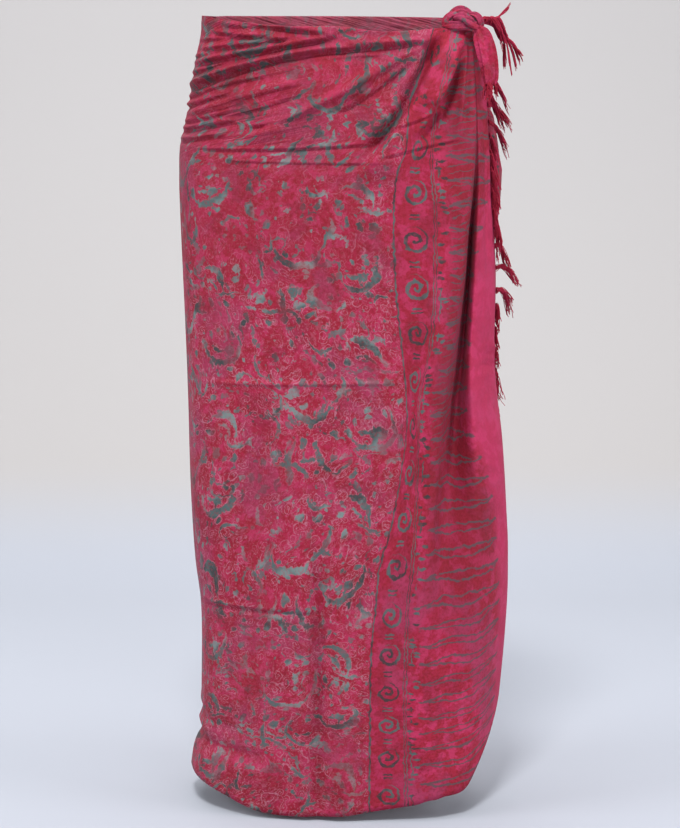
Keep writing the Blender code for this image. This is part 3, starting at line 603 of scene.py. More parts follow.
def fold_relief(x, z, place):
    """Outward relief of the outer stretch's folds and creases."""
    relief = np.zeros_like(x)
    for _, x1, z1, x2, z2, bow, depth, above, below in FOLDS:
        run = math.hypot(x2 - x1, z2 - z1)
        dx, dz = (x2 - x1) / run, (z2 - z1) / run
        if dx < 0:
            dx, dz, x1, z1 = -dx, -dz, x2, z2
        along = ((x - x1) * dx + (z - z1) * dz) / run
        off = (z - z1) * dx - (x - x1) * dz + bow * 4 * along * (1 - along)
        wide = np.where(off > 0, above, below)
        fade = ease(along / FOLD_END) * ease((1 - along) / FOLD_END)
        relief += depth * fade * np.exp(-(off / wide) ** 2)
        if depth < 0:
            over = off / above - FOLD_LIP_RISE
            relief -= FOLD_LIP * depth * fade * np.exp(-over ** 2)
    relief *= ease(place / PLACES[1]) * np.clip((FOLD_LAST_PLACE - place) / FOLD_LAST_SPAN, 0, 1)
    for _, p1, z1, p2, z2, depth, wide in FALL_CREASES:
        start = (place - p1) * PLACE_METRES, z - z1
        run = (p2 - p1) * PLACE_METRES, z2 - z1
        relief += line_relief(start, run, depth, wide)
    return relief


def line_relief(start, way, depth, wide):
    """Relief of one straight crease, from how far off its start lies and the way that it runs."""
    across, up = start
    run_across, run_up = way
    run = math.hypot(run_across, run_up)
    along = (across * run_across + up * run_up) / run ** 2
    off = (up * run_across - across * run_up) / run
    fade = ease(along / CREASE_END) * ease((1 - along) / CREASE_END)
    return depth * fade * np.exp(-(off / wide) ** 2)


def front_surface(place, z):
    """Outer stretch with its folds, as x, y, z."""
    step = 0.002
    bare = front_plan(place, z)
    run = front_plan(np.clip(place + step, 0, 1), z) - front_plan(np.clip(place - step, 0, 1), z)
    run /= np.linalg.norm(run, axis=1)[:, None]
    outward = np.column_stack((run[:, 1], -run[:, 0]))
    moved = bare + outward * fold_relief(bare[:, 0], z, place)[:, None]
    return np.column_stack((moved, z))


def back_surface(angle, z):
    """Wound stretch with its folds, by the angle from the tied side round the back, as x, y, z."""
    body = table_curve(BODY, z)
    left, right, back, lap = body[:, 0], body[:, 1], body[:, 3], body[:, 4]
    plan = oval(angle, left, right, lap, back)
    reach = np.linalg.norm(plan, axis=1)
    relief = np.zeros_like(z)
    for _, middle, width, top, bottom, depth in BACK_FOLDS:
        down = np.clip((top - z) / (top - bottom), 0, 1)
        relief += depth * down * np.exp(-((angle - middle) / width) ** 2)
    metres = math.radians(1.0) * HIP_RADIUS
    for _, a1, z1, a2, z2, depth, wide in BACK_CREASES:
        start = (angle - a1) * metres, z - z1
        run = (a2 - a1) * metres, z2 - z1
        relief += line_relief(start, run, depth, wide)
    return np.column_stack((plan * (1 + relief / reach)[:, None], z))


def print_height(z):
    """Height of a point on the cloth's print, from its height on the worn garment."""
    marks = [(height, -SPIRAL_STEP * (k - SPIRAL_ABOVE)) for k, height in enumerate(SPIRAL_HEIGHTS)]
    return table_curve(marks, z)[:, 0]


def front_print(points, places, hem):
    """Print coordinates of the outer stretch: distance from the field's line, and height."""
    rows, columns = points.shape[:2]
    spots = np.zeros((rows, columns, 2))
    searched = (places > PLACES[5]) & (places <= PLACES[8])
    lost = HIDDEN_CLOTH * ease((places - HIDDEN_PLACE[0]) / HIDDEN_PLACE[1])
    risen = HEM_FOLLOW * np.clip(hem + HEM_LEVEL, 0, 1) * (places > HEM_PLACE)
    for row in range(rows):
        line = points[row]
        z = line[:, 2]
        steps = np.linalg.norm(np.diff(line[:, :2], axis=0), axis=1)
        run = np.concatenate(((0.0,), np.cumsum(steps)))
        x = np.maximum.accumulate(line[searched, 0])
        marks = table_curve(BORDER_LINES, z[searched])
        field_run = np.interp(0.0, x - marks[:, 0], run[searched])
        double_run = np.interp(0.0, x - marks[:, 1], run[searched])
        field = run - field_run
        band = field / (double_run - field_run) * BAND_WIDTH
        beyond = BAND_WIDTH + run - double_run + lost * ease((z + HIDDEN_END[0]) / HIDDEN_END[1])
        past_field = np.where(run < double_run, band, beyond)
        spots[row, :, 0] = np.where(run < field_run, field, past_field)
        lift = risen * ease((-HEM_DEPTHS[0] - z) / HEM_DEPTHS[1])
        spots[row, :, 1] = print_height(z - lift)
    return spots


def back_print(points, seam_start):
    """Print coordinates of the wound stretch, carried on from the seam to the far border."""
    steps = np.linalg.norm(np.diff(points[:, ::-1, :2], axis=1), axis=2)
    run = np.concatenate((np.zeros((len(points), 1)), np.cumsum(steps, axis=1)), axis=1)[:, ::-1]
    start = np.interp(-points[:, -1, 2], *seam_start)
    across = start[:, None] - run
    across = np.where(across < FAR_BORDER, FAR_BORDER - across, across)
    height = np.array([print_height(row[:, 2]) for row in points])
    return np.stack((across, height), axis=2)


def row_shares(zone, lower_rows):
    """Shares of the way from the creased zone to the hem, closest at the packing creases."""
    share = np.linspace(0, 1, 400)
    height = -zone - share * (LOWEST_HEM - zone)
    crowd = sum(np.exp(-((height - middle) / PACK_REACH) ** 2) for middle in PACK_HEIGHTS)
    run = np.cumsum(1 + PACK_CROWD * crowd)
    return np.interp(np.linspace(run[0], run[-1], lower_rows + 1), run, share)


def row_heights(edges, zone, top_rows, lower_rows):
    """Heights of the rows between two edges, close in the creased zone and wider below it."""
    top, hem = edges[:, 0], edges[:, 1]
    rows = [top - zone * k / top_rows for k in range(top_rows)]
    start = top - zone
    rows += [start + (hem - start) * share for share in row_shares(zone, lower_rows)]
    return np.array(rows)


def link(item):
    """Put an object in the scene and have it ride on the garment."""
    bpy.context.scene.collection.objects.link(item)
    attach(item, BODY_NAME)
    return item


def corner_spots(spots):
    """Print coordinates by face; a face across the far border's line keeps to its far side."""
    across = spots[:, :, 0]
    near = (np.ptp(across, axis=1) > abs(FAR_BORDER) / 2)[:, None] & (across < FAR_BORDER / 2)
    spots[:, :, 0] = np.where(near, FAR_BORDER - across, across)
    return spots


def sheet_object(name, points, spots, crimp, thickness, materials):
    """A stretch of cloth: a grid of quads with its print coordinates and a thin wall inward."""
    rows, columns = points.shape[:2]
    corner = np.arange(rows * columns).reshape(rows, columns)
    around = (corner[1:, :-1], corner[1:, 1:], corner[:-1, 1:], corner[:-1, :-1])
    faces = np.stack(around, axis=2).reshape(-1, 4)
    mesh = bpy.data.meshes.new(name)
    mesh.from_pydata(points.reshape(-1, 3).tolist(), [], faces.tolist())
    layer = mesh.uv_layers.new(name="print")
    layer.data.foreach_set("uv", corner_spots(spots.reshape(-1, 2)[faces]).reshape(-1))
    gathers = mesh.attributes.new("crimp", "FLOAT", "POINT")
    gathers.data.foreach_set("value", crimp.reshape(-1))
    mesh.shade_smooth()
    for material in materials:
        mesh.materials.append(material)
    item = link(bpy.data.objects.new(name, mesh))
    wall = item.modifiers.new("wall", "SOLIDIFY")
    wall.thickness = thickness
    wall.offset = -1.0
    wall.use_even_offset = False
    wall.material_offset = 1
    wall.material_offset_rim = 0
    return item


def roll_points(path, sides, rings, pleats, depth, twist):
    """Points of a pleated roll of cloth along a table's path."""
    rows = np.array(path)
    knots = np.linspace(0, 1, len(rows))
    share = np.linspace(0, 1, rings)
    smooth = table_curve(np.column_stack((knots, rows)), share)
    centre, wide = smooth[:, :3], smooth[:, 3:]
    ahead = np.gradient(centre, axis=0)
    ahead /= np.linalg.norm(ahead, axis=1)[:, None]
    front = np.array((0.0, -1.0, 0.0)) - ahead * (-ahead[:, 1:2])
    front /= np.linalg.norm(front, axis=1)[:, None]
    side = np.cross(ahead, front)
    turn = np.linspace(0, 2 * math.pi, sides, endpoint=False)[None, :]
    spin = twist * share[:, None]
    main_pleats = 0.6 * np.cos(pleats * turn + spin)
    stray_pleats = 0.4 * np.cos((pleats + 3) * turn - 1.7 * spin + 1.0)
    swell = 1 + depth * (main_pleats + stray_pleats - 0.75)
    rounding = np.clip(np.minimum(share, 1 - share) * 9, 0, 1)[:, None] ** 0.5
    swell = swell * (rounding * (1 - ROLL_TIP) + ROLL_TIP)
    across = (np.cos(turn) * wide[:, 0:1] * swell)[:, :, None] * side[:, None, :]
    through = (np.sin(turn) * wide[:, 1:2] * swell)[:, :, None] * front[:, None, :]
    return centre[:, None, :] + across + through


def roll_faces(rings, sides, start):
    """Side quads and caps of a roll."""
    faces = []
    for ring in range(rings - 1):
        for k in range(sides):
            a = start + ring * sides + k
            b = start + ring * sides + (k + 1) % sides
            faces.append((a, b, b + sides, a + sides))
    faces.append(tuple(start + k for k in reversed(range(sides))))
    faces.append(tuple(start + (rings - 1) * sides + k for k in range(sides)))
    return faces


def rolls_object(name, rolls, material):
    """One object from several rolls, each given as (path, sides, rings, pleats, depth, twist)."""
    corners = []
    faces = []
    for path, sides, rings, pleats, depth, twist in rolls:
        start = len(corners)
        corners += roll_points(path, sides, rings, pleats, depth, twist).reshape(-1, 3).tolist()
        faces += roll_faces(rings, sides, start)
    mesh = bpy.data.meshes.new(name)
    mesh.from_pydata(corners, [], faces)
    build = bmesh.new()
    build.from_mesh(mesh)
    bmesh.ops.recalc_face_normals(build, faces=build.faces)
    build.to_mesh(mesh)
    build.free()
    mesh.shade_smooth()
    mesh.materials.append(material)
    item = link(bpy.data.objects.new(name, mesh))
    smooth = item.modifiers.new("soften", "SUBSURF")
    smooth.levels = 1
    smooth.render_levels = 1
    return item


def thread_tree(radius, sides, material):
    """Geometry nodes that turn drawn lines into threads of a given radius."""
    tree = bpy.data.node_groups.new("threads", "GeometryNodeTree")
    tree.interface.new_socket("Geometry", in_out="INPUT", socket_type="NodeSocketGeometry")
    sockets = tree.interface
    thick = sockets.new_socket("Thread Radius", in_out="INPUT", socket_type="NodeSocketFloat")
    corners = sockets.new_socket("Thread Sides", in_out="INPUT", socket_type="NodeSocketInt")
    tree.interface.new_socket("Geometry", in_out="OUTPUT", socket_type="NodeSocketGeometry")
    nodes = tree.nodes
    start = nodes.new("NodeGroupInput")
    curve = nodes.new("GeometryNodeMeshToCurve")
    profile = nodes.new("GeometryNodeCurvePrimitiveCircle")
    tube = nodes.new("GeometryNodeCurveToMesh")
    tube.inputs["Fill Caps"].default_value = True
    real = nodes.new("GeometryNodeRealizeInstances")
    finish = nodes.new("GeometryNodeSetMaterial")
    finish.inputs["Material"].default_value = material
    end = nodes.new("NodeGroupOutput")
    wires = (
        (start.outputs["Geometry"], curve.inputs["Mesh"]),
        (start.outputs["Thread Radius"], profile.inputs["Radius"]),
        (start.outputs["Thread Sides"], profile.inputs["Resolution"]),
        (curve.outputs["Curve"], tube.inputs["Curve"]),
        (profile.outputs["Curve"], tube.inputs["Profile Curve"]),
        (tube.outputs["Mesh"], real.inputs["Geometry"]),
        (real.outputs["Geometry"], finish.inputs["Geometry"]),
        (finish.outputs["Geometry"], end.inputs["Geometry"]),
    )
    for source, target in wires:
        tree.links.new(source, target)
    return tree, {thick.identifier: radius, corners.identifier: sides}


def threads_object(name, lines, settings, material):
    """Threads along drawn lines, made plain mesh."""
    corners = []
    edges = []
    for line in lines:
        start = len(corners)
        corners += [tuple(point) for point in line]
        edges += [(start + k, start + k + 1) for k in range(len(line) - 1)]
    drawn = bpy.data.meshes.new(name + "_lines")
    drawn.from_pydata(corners, edges, [])
    item = bpy.data.objects.new(name, drawn)
    bpy.context.scene.collection.objects.link(item)
    tree, values = thread_tree(settings.radius, settings.sides, material)
    modifier = item.modifiers.new("threads", "NODES")
    modifier.node_group = tree
    for identifier, value in values.items():
        modifier[identifier] = value
    graph = bpy.context.evaluated_depsgraph_get()
    graph.update()
    mesh = bpy.data.meshes.new_from_object(item.evaluated_get(graph))
    item.modifiers.clear()
    item.data = mesh
    mesh.shade_smooth()
    if not mesh.materials:
        mesh.materials.append(material)
    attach(item, BODY_NAME)
    return item


def lock_lines(root, out, drop, curl, width, count, dice):
    """Threads of one tassel: they leave the root together, knot, arch outward and fray."""
    lines = []
    out = Vector(out)
    upright = Vector((0, 0, 1))
    side = out.cross(upright)
    side = side.normalized() if side.length > 1e-6 else Vector((1, 0, 0))
    subs = [(dice.uniform(-1, 1), dice.uniform(-1, 1), dice.uniform(0.8, 1.1)) for _ in range(3)]
    for k in range(count):
        aside, lifted, scale = subs[k % 3]
        spread = dice.uniform(0, 2 * math.pi)
        spin = dice.choice((-1, 1)) * dice.uniform(3.0, 6.0)
        shift = dice.uniform(0.3, 1.0)
        tip = dice.uniform(0.85, 1.12) * scale
        points = []
        for step in range(LOCK_STEPS + 1):
            u = step / LOCK_STEPS * tip
            arch = curl * 0.35 * math.sin(math.pi * min(u, 1.0))
            centre = Vector(root) + out * u + upright * (drop * (arch - u ** 1.5))
            part = max(0.0, u - LOCK_SPLIT) * width * LOCK_SPREAD
            centre += side * (aside * part) + upright * (lifted * part)
            neck = 1.0 - 0.45 * math.exp(-((u - LOCK_NECK) / 0.1) ** 2)
            radius = width * 0.5 * shift * neck * (1 + 1.2 * max(0.0, u - LOCK_FRAY))
            turn = spread + spin * u
            points.append(centre + (side * math.cos(turn) + upright * math.sin(turn)) * radius)
        lines.append(points)
    return lines


class Wire:
    """One socket of a material; arithmetic on it adds the Math nodes that do it."""

    def __init__(self, board, socket):
        self.board = board
        self.socket = socket

    def also(self, name):
        """Another output of the same node."""
        return Wire(self.board, self.socket.node.outputs[name])

    def math(self, operation, *others):
        """A Math node on this wire and others."""
        return self.board.math(operation, self, *others)

    def __add__(self, other):
        return self.math("ADD", other)

    __radd__ = __add__

    def __sub__(self, other):
        return self.math("SUBTRACT", other)

    def __rsub__(self, other):
        return self.board.math("SUBTRACT", other, self)

    def __mul__(self, other):
        return self.math("MULTIPLY", other)

    __rmul__ = __mul__

    def __truediv__(self, other):
        return self.math("DIVIDE", other)

    def __rtruediv__(self, other):
        return self.board.math("DIVIDE", other, self)

    def __abs__(self):
        return self.math("ABSOLUTE")

    def above(self, level, soft):
        """0 below a level and 1 above it, over a soft edge."""
        return self.board.step(self, level - soft, level + soft)

    def below(self, level, soft):
        """1 below a level and 0 above it, over a soft edge."""
        return 1.0 - self.above(level, soft)


class Board:
    """A material's node tree and the few ways the pieces add to it."""

    def __init__(self, name):
        self.material = bpy.data.materials.new(name)
        self.material.use_nodes = True
        self.tree = self.material.node_tree
        self.shader = self.tree.nodes["Principled BSDF"]

    def make(self, kind, settings=None, inputs=None, output=0):
        """Any node: its type, settings and socket values."""
        node = self.tree.nodes.new(kind)
        for key, value in (settings or {}).items():
            setattr(node, key, value)
        for key, value in (inputs or {}).items():
            self.feed(node.inputs[key], value)
        return Wire(self, node.outputs[output])

    def feed(self, socket, value):
        """Link a wire to a socket, or set its value."""
        if isinstance(value, Wire):
            self.tree.links.new(value.socket, socket)
        else:
            socket.default_value = value

    def math(self, operation, *values):
        """A Math node on numbers and wires."""
        return self.make("ShaderNodeMath", {"operation": operation}, dict(enumerate(values)))

    def step(self, value, low, high):
        """0 below the low value, 1 above the high one and a smooth rise between."""
        settings = {"interpolation_type": "SMOOTHSTEP"}
        inputs = {"Value": value, "From Min": low, "From Max": high}
        return self.make("ShaderNodeMapRange", settings, inputs)

    def mix(self, factor, first, second):
        """Blend two colours."""
        inputs = {0: factor, 6: first, 7: second}
        return self.make("ShaderNodeMix", {"data_type": "RGBA"}, inputs, output=2)

    def vector(self, operation, *values, output=0):
        """A Vector Math node; its lengths and distances are output 1."""
        settings = {"operation": operation}
        return self.make("ShaderNodeVectorMath", settings, dict(enumerate(values)), output)

    def join(self, x, y):
        """A flat vector from two wires."""
        return self.make("ShaderNodeCombineXYZ", None, {0: x, 1: y})

    def split(self, vector):
        """The first two parts of a vector."""
        x = self.make("ShaderNodeSeparateXYZ", None, {0: vector})
        return x, x.also("Y")

    def noise(self, vector, scale, detail=2.0, rough=0.5, flat=True, output=0):
        """Noise from 0 to 1; its colour is output 1."""
        settings = {"noise_dimensions": "2D" if flat else "3D"}
        inputs = {"Vector": vector, "Scale": scale, "Detail": detail, "Roughness": rough}
        return self.make("ShaderNodeTexNoise", settings, inputs, output)

    def stray(self, vector, scale, detail, reach):
        """Small shifts to every side, as a vector."""
        around = self.noise(vector, scale, detail, 0.5, output=1)
        around = self.vector("SUBTRACT", around, (0.5, 0.5, 0.5))
        return self.vector("MULTIPLY", around, (reach, reach, 0.0))

    def draw(self, cell):
        """A number drawn for each cell, with two more as its Green and Blue."""
        return self.make("ShaderNodeSeparateColor", None, {0: cell.also("Color")})

    def cells(self, vector, scale, randomness=1.0):
        """Nearest cell: distance, with its colour and middle as other outputs."""
        settings = {"voronoi_dimensions": "2D", "feature": "F1"}
        inputs = {"Vector": vector, "Scale": scale, "Randomness": randomness}
        return self.make("ShaderNodeTexVoronoi", settings, inputs)

    def finish(self, colour, roughness, bump=None):
        """Join the looks to the shader; the bump is a height in millimetres."""
        self.feed(self.shader.inputs["Base Color"], colour)
        self.feed(self.shader.inputs["Roughness"], roughness)
        if bump is not None:
            inputs = {"Height": bump, "Strength": 1.0, "Distance": 0.001}
            self.feed(self.shader.inputs["Normal"], self.make("ShaderNodeBump", None, inputs))
        return self.material


COIL_PITCH = 0.0098         # between the turns of a border spiral
COIL_REACH = 0.0155         # its radius
WAVES_START = 0.062         # how far from the field's line the long waves start
WAVES_RUN = 0.146           # their length
HATCH_PITCH = 0.0084        # between the slanting lines of the border
WEAVE_PITCH = 0.0011        # between threads, drawn coarser than real so that it can be seen

# Dye colours (linear); DEEP also serves as painted shade over the valley of the fall
PINK = (0.455, 0.034, 0.108, 1.0)
CRIMSON = (0.335, 0.0140, 0.046, 1.0)
RED = (0.275, 0.0120, 0.026, 1.0)
DEEP = (0.165, 0.010, 0.018, 1.0)
PLUM = (0.285, 0.042, 0.100, 1.0)
SILVER = (0.140, 0.205, 0.200, 1.0)
SLATE = (0.058, 0.108, 0.108, 1.0)
INK = (0.024, 0.034, 0.036, 1.0)
UMBER = (0.080, 0.060, 0.070, 1.0)
LACE = (0.400, 0.160, 0.215, 1.0)
WAX = (0.360, 0.260, 0.280, 1.0)
FLOOR_PAPER = (0.430, 0.455, 0.515, 1.0)
WALL_PAPER = (0.445, 0.430, 0.430, 1.0)


def ground(board, vector, flat):
    """Mottled dye: crimson with pink, red, plum and dark patches; also its grain and dark share."""
    broad = board.noise(vector, 14.0, 4.0, 0.62, flat)
    patch = board.noise(vector, 52.0, 4.0, 0.62, flat)
    grain = board.noise(vector, 240.0, 3.0, 0.65, flat)
    dark = board.noise(vector, 19.0, 5.0, 0.62, flat).above(0.55, 0.06)
    colour = board.mix(broad.above(0.50, 0.06), RED, CRIMSON)
    colour = board.mix(patch.above(0.54, 0.05) * 0.70, colour, PINK)
    colour = board.mix(dark * 0.62, colour, DEEP)
    plum = board.noise(vector, 9.0, 3.0, 0.6, flat).above(0.57, 0.07)
    colour = board.mix(plum * 0.6, colour, PLUM)
    colour = board.mix(patch.below(0.42, 0.04) * 0.65, colour, RED)
    colour = board.mix(grain.below(0.42, 0.08) * 0.30, colour, DEEP)
    return board.mix(grain.above(0.5, 0.16) * 0.24, colour, PINK), grain, dark


def arc_field(board, point, row):
    """Inside of one tapered arc, positive within its stroke."""
    x, y, radius, middle, half_sweep, half_width = row
    offset = board.vector("SUBTRACT", point, (x / 1000, y / 1000, 0.0))
    length = board.vector("LENGTH", offset, output=1)
    across, up = board.split(offset)
    turn = board.math("ARCTAN2", up, across) - math.radians(middle)
    turn = board.math("WRAP", turn, math.pi, -math.pi) / math.radians(half_sweep)
    taper = board.math("MULTIPLY_ADD", turn * turn, -half_width / 1000, half_width / 1000)
    return taper - abs(length - radius / 1000)


def blob_field(board, point, row):
    """Inside of one round blob, positive within it."""
    x, y, radius = row
    return radius / 1000 - board.vector("DISTANCE", point, (x / 1000, y / 1000, 0.0), output=1)


def union(fields):
    """The largest of several fields, each drawn up just before it is joined."""
    best = None
    for field in fields:
        best = field if best is None else best.math("MAXIMUM", field)
    return best


def spiral_field(board, point, scale, reach, pitch, half_width, share):
    """Small scrolls, one in most cells, turned at random."""
    cell = board.cells(point, scale, 0.85)
    offset = board.vector("SUBTRACT", point, cell.also("Position"))
    length = board.vector("LENGTH", offset, output=1)
    across, up = board.split(offset)
    chance = board.draw(cell)
    hand = chance.math("GREATER_THAN", 0.5) * 2.0 - 1.0
    turn = board.math("ARCTAN2", up, across) / (2 * math.pi) * hand
    phase = (turn - length / pitch + chance.also("Green")).math("FRACT")
    inside = length.below(reach, 0.0006) * chance.also("Blue").below(share, 0.02)
    return (abs(phase - 0.5) * pitch).below(half_width, half_width * 0.6) * inside


def field_mask(board, point, wobble):
    """Grey motifs, their pale wax edges and the pale lace of the field."""
    sway = board.stray(point, 15.0, 1.0, 0.03)
    moved = board.vector("ADD", board.vector("ADD", point, wobble), sway)
    across, up = board.split(moved)
    column = (across / REPEAT_WIDTH).math("FLOOR")
    tile_x = across - column * REPEAT_WIDTH
    shifted = up + column * (REPEAT_HEIGHT * 0.5)
    tile_y = shifted - (shifted / REPEAT_HEIGHT).math("FLOOR") * REPEAT_HEIGHT
    tile = board.join(tile_x, tile_y)
    uneven = (board.noise(point, 130.0, 3.0, 0.6) - 0.5) * 0.0065
    best = union(arc_field(board, tile, row) for row in MOTIFS)
    best = best.math("MAXIMUM", union(blob_field(board, tile, row) for row in BLOBS)) + uneven
    motifs = best.above(0.0002, 0.0005)
    edges = abs(best + 0.0005).below(0.0005, 0.0004)
    dots = board.cells(moved, 70.0)
    chance = board.draw(dots)
    spot = dots / 70.0 - chance.also("Green") * 0.0020 - uneven * 0.5
    dots = spot.below(0.0011, 0.0005) * chance.above(0.52, 0.02)
    islands = board.noise(moved, 52.0, 3.0, 0.52).above(0.665, 0.010)
    tendrils = abs(board.noise(moved, 30.0, 2.0, 0.45) - 0.5).below(0.022, 0.005)
    tendrils = tendrils * board.noise(point, 21.0, 2.0, 0.5).above(0.600, 0.012)
    curls = union(arc_field(board, tile, row) for row in CURLS).above(0.0, 0.0004)
    lace = spiral_field(board, moved, 60.0, 0.0066, 0.0038, 0.00044, 0.80)
    aside = board.vector("ADD", moved, (0.31, 0.17, 0.0))
    small = spiral_field(board, aside, 98.0, 0.0042, 0.0029, 0.00038, 0.7)
    vines = abs(board.noise(moved, 74.0, 1.0, 0.4) - 0.5).below(0.012, 0.008)
    specks = (board.cells(moved, 200.0) / 200.0).below(0.0009, 0.0004)
    lace = union([curls, lace, small * 0.5, vines * 0.3, specks * 0.5])
    solid = union([motifs, dots * 0.85, islands * 0.85, tendrils * 0.8])
    return solid, edges, lace


def border_mask(board, across, up, wobble_x, wobble_y):
    """Grey lines, spirals, bars and long waves of the border; plain margin beyond them."""
    x = across + wobble_x * 0.7
    y = up + wobble_y * 0.7
    spot = board.join(x, y)
    lines = abs(x).below(0.0012, 0.0006)
    lines = lines.math("MAXIMUM", abs(abs(x - BAND_WIDTH) - 0.0016).below(0.0006, 0.0004) * 0.9)
    part = (y / SPIRAL_STEP + 0.5).math("FRACT") - 0.5
    local = board.join(x - BAND_WIDTH * 0.5, part * SPIRAL_STEP)
    length = board.vector("LENGTH", local, output=1)
    sx, sy = board.split(local)
    phase = (board.math("ARCTAN2", sy, sx) / (2 * math.pi) - length / COIL_PITCH).math("FRACT")
    uneven = board.noise(spot, 120.0, 2.0, 0.6) - 0.5
    coil = (abs(phase - 0.5) * COIL_PITCH + uneven * 0.0040).below(0.0021, 0.0006)
    coil = coil * length.below(COIL_REACH, 0.0010)
    gap = (y / SPIRAL_STEP).math("FRACT") - 0.5
    bars = abs(abs(gap * SPIRAL_STEP) - 0.0024).below(0.0011, 0.0005)
    bars = bars * abs(x - BAND_WIDTH * 0.5).below(0.0062, 0.0010)
    marks = coil.math("MAXIMUM", bars)
    lost = y.above(-0.045, 0.012) * board.noise(spot, 62.0, 3.0, 0.5).above(0.47, 0.03)
    marks = marks * (1.0 - lost)
    strokes = board.cells(board.join(x * 0.42, y * 1.1), 118.0)
    chance = board.draw(strokes)
    strokes = (strokes / 118.0).below(0.0021, 0.0006) * abs(x - 0.0560).below(0.0075, 0.0012)
    strokes = strokes * chance.above(0.30, 0.02)
    upright = abs(x - 0.0525 - uneven * 0.006).below(0.0009, 0.0005)
    upright = upright * board.noise(spot, 48.0, 1.0, 0.5).above(0.55, 0.02)
    bits = strokes.math("MAXIMUM", upright)
    share = (x - WAVES_START) / WAVES_RUN
    swell = (share.math("MAXIMUM", 0.0).math("MINIMUM", 1.0) * math.pi).math("SINE")
    drift = board.noise(spot, 22.0, 1.0, 0.5) - 0.5
    rung = (y + drift * 0.012) / (SPIRAL_STEP * 0.5)
    wave = (rung.math("FRACT") - 0.5) * (SPIRAL_STEP * 0.5)
    inside = share.above(0.0, 0.01) * share.below(1.0, 0.01)
    pair = abs(abs(wave) - swell * 0.0050 + uneven * 0.0022).below(0.0013, 0.0006)
    broken = board.noise(board.join(x * 0.35, y), 120.0, 2.0, 0.5).above(0.32, 0.08)
    ends = abs(share - 0.965).below(0.02, 0.012) * abs(wave).below(0.0022, 0.0012)
    fine = ((y - share * 0.032 + drift * 0.008) / HATCH_PITCH).math("FRACT") - 0.5
    hatch = abs(fine * HATCH_PITCH + uneven * 0.003).below(0.0006, 0.0005) * y.above(-0.42, 0.05)
    hatch = hatch * share.above(0.02, 0.02) * share.below(0.60, 0.10)
    waves = (pair.math("MAXIMUM", hatch) * broken).math("MAXIMUM", ends) * inside
    return union([lines, marks, bits]), waves


def cloth_shell(board):
    """Numbers that are the same all over the cloth."""
    board.shader.inputs["Sheen Weight"].default_value = 0.03
    board.shader.inputs["Sheen Roughness"].default_value = 0.40
    board.shader.inputs["Sheen Tint"].default_value = (1.0, 0.60, 0.74, 1.0)
    board.shader.inputs["Specular IOR Level"].default_value = 0.14


def weave_height(board, point, grain):
    """Millimetres of fine weave, soft crumple and, near the waist, fine gathers."""
    across, up = board.split(point)
    warp = (across * (2 * math.pi / WEAVE_PITCH)).math("SINE")
    weft = (up * (2 * math.pi / WEAVE_PITCH)).math("SINE")
    crumple = board.noise(point, 34.0, 4.0, 0.55)
    crimp = board.make("ShaderNodeAttribute", {"attribute_name": "crimp"}, output=2)
    lie = board.join(across * 11.0, (up - across * 0.22) * 240.0)
    gathers = board.noise(lie, 1.0, 3.0, 0.55)
    return warp * weft * 0.02 + crumple * 1.6 + grain * 0.16 + gathers * crimp * 4.2


def batik_material(name, fade):
    """Wax-resist print over the mottled ground, with painted shade over the valley of the fall;
    fade greys and softens it for the wrong side.
    """
    board = Board(name)
    point = board.make("ShaderNodeUVMap", {"uv_map": "print"})
    across, up = board.split(point)
    base, grain, dark = ground(board, point, True)
    base = board.mix(across.below(0.050, 0.006) * 0.24, base, DEEP)
    waist = up.above(-0.20, 0.05) * across.below(-0.020, 0.040)
    base = board.mix(waist * 0.18, base, DEEP)
    # Darker ground over the zone of the long waves, down to about 0.6 m of print height: partly the
    # darker dye of that zone, partly painted shade of the valley of the fall.
    wave_dye_and_valley_shade = across.above(0.060, 0.015) * across.below(0.190, 0.030) * up.above(-0.60, 0.15)
    base = board.mix(wave_dye_and_valley_shade * 0.60, base, DEEP)
    base = board.mix(across.above(0.205, 0.015) * 0.55, base, PINK)
    drift = board.stray(point, 88.0, 2.0, 0.0075)
    ragged = board.stray(point, 260.0, 1.0, 0.0024)
    wobble = board.vector("ADD", drift, ragged)
    wobble_x, wobble_y = board.split(wobble)
    in_field = across.below(-0.0020, 0.0005)
    motifs, edges, lace = field_mask(board, point, wobble)
    marks, waves = border_mask(board, across, up, wobble_x, wobble_y)
    wear = board.noise(point, 15.0, 3.0, 0.6)
    flecks = board.noise(point, 240.0, 2.0, 0.6).above(0.42, 0.12)
    lace_show = (wear.above(0.40, 0.12) * 0.75 + 0.25) * in_field * (flecks * 0.6 + 0.4)
    lace_show = lace_show * (1.0 - waist * 0.60)
    motif_show = motifs * in_field * (wear.above(0.44, 0.08) * 0.50 + 0.50)
    motif_show = motif_show * (flecks * 0.36 + 0.58) * fade
    mark_show = marks * (flecks * 0.30 + 0.62) * fade
    tone = board.noise(point, 24.0, 3.0, 0.55)
    grey = board.mix(tone.above(0.55, 0.08), SLATE, SILVER)
    grey = board.mix((dark * 0.80).math("MAXIMUM", up.above(0.0, 0.05) * 0.45), grey, INK)
    colour = board.mix(lace * lace_show * (0.66 * fade), base, LACE)
    colour = board.mix(waves * (0.85 * fade), colour, UMBER)
    colour = board.mix(motif_show, colour, grey)
    colour = board.mix(mark_show, colour, board.mix(tone.above(0.50, 0.10), INK, SLATE))
    colour = board.mix(edges * lace_show * (0.26 * fade), colour, WAX)
    if fade < 1.0:
        colour = board.mix(0.22, colour, LACE)
    cloth_shell(board)
    roughness = 0.66 + grain * 0.14
    return board.finish(colour, roughness, weave_height(board, point, grain))


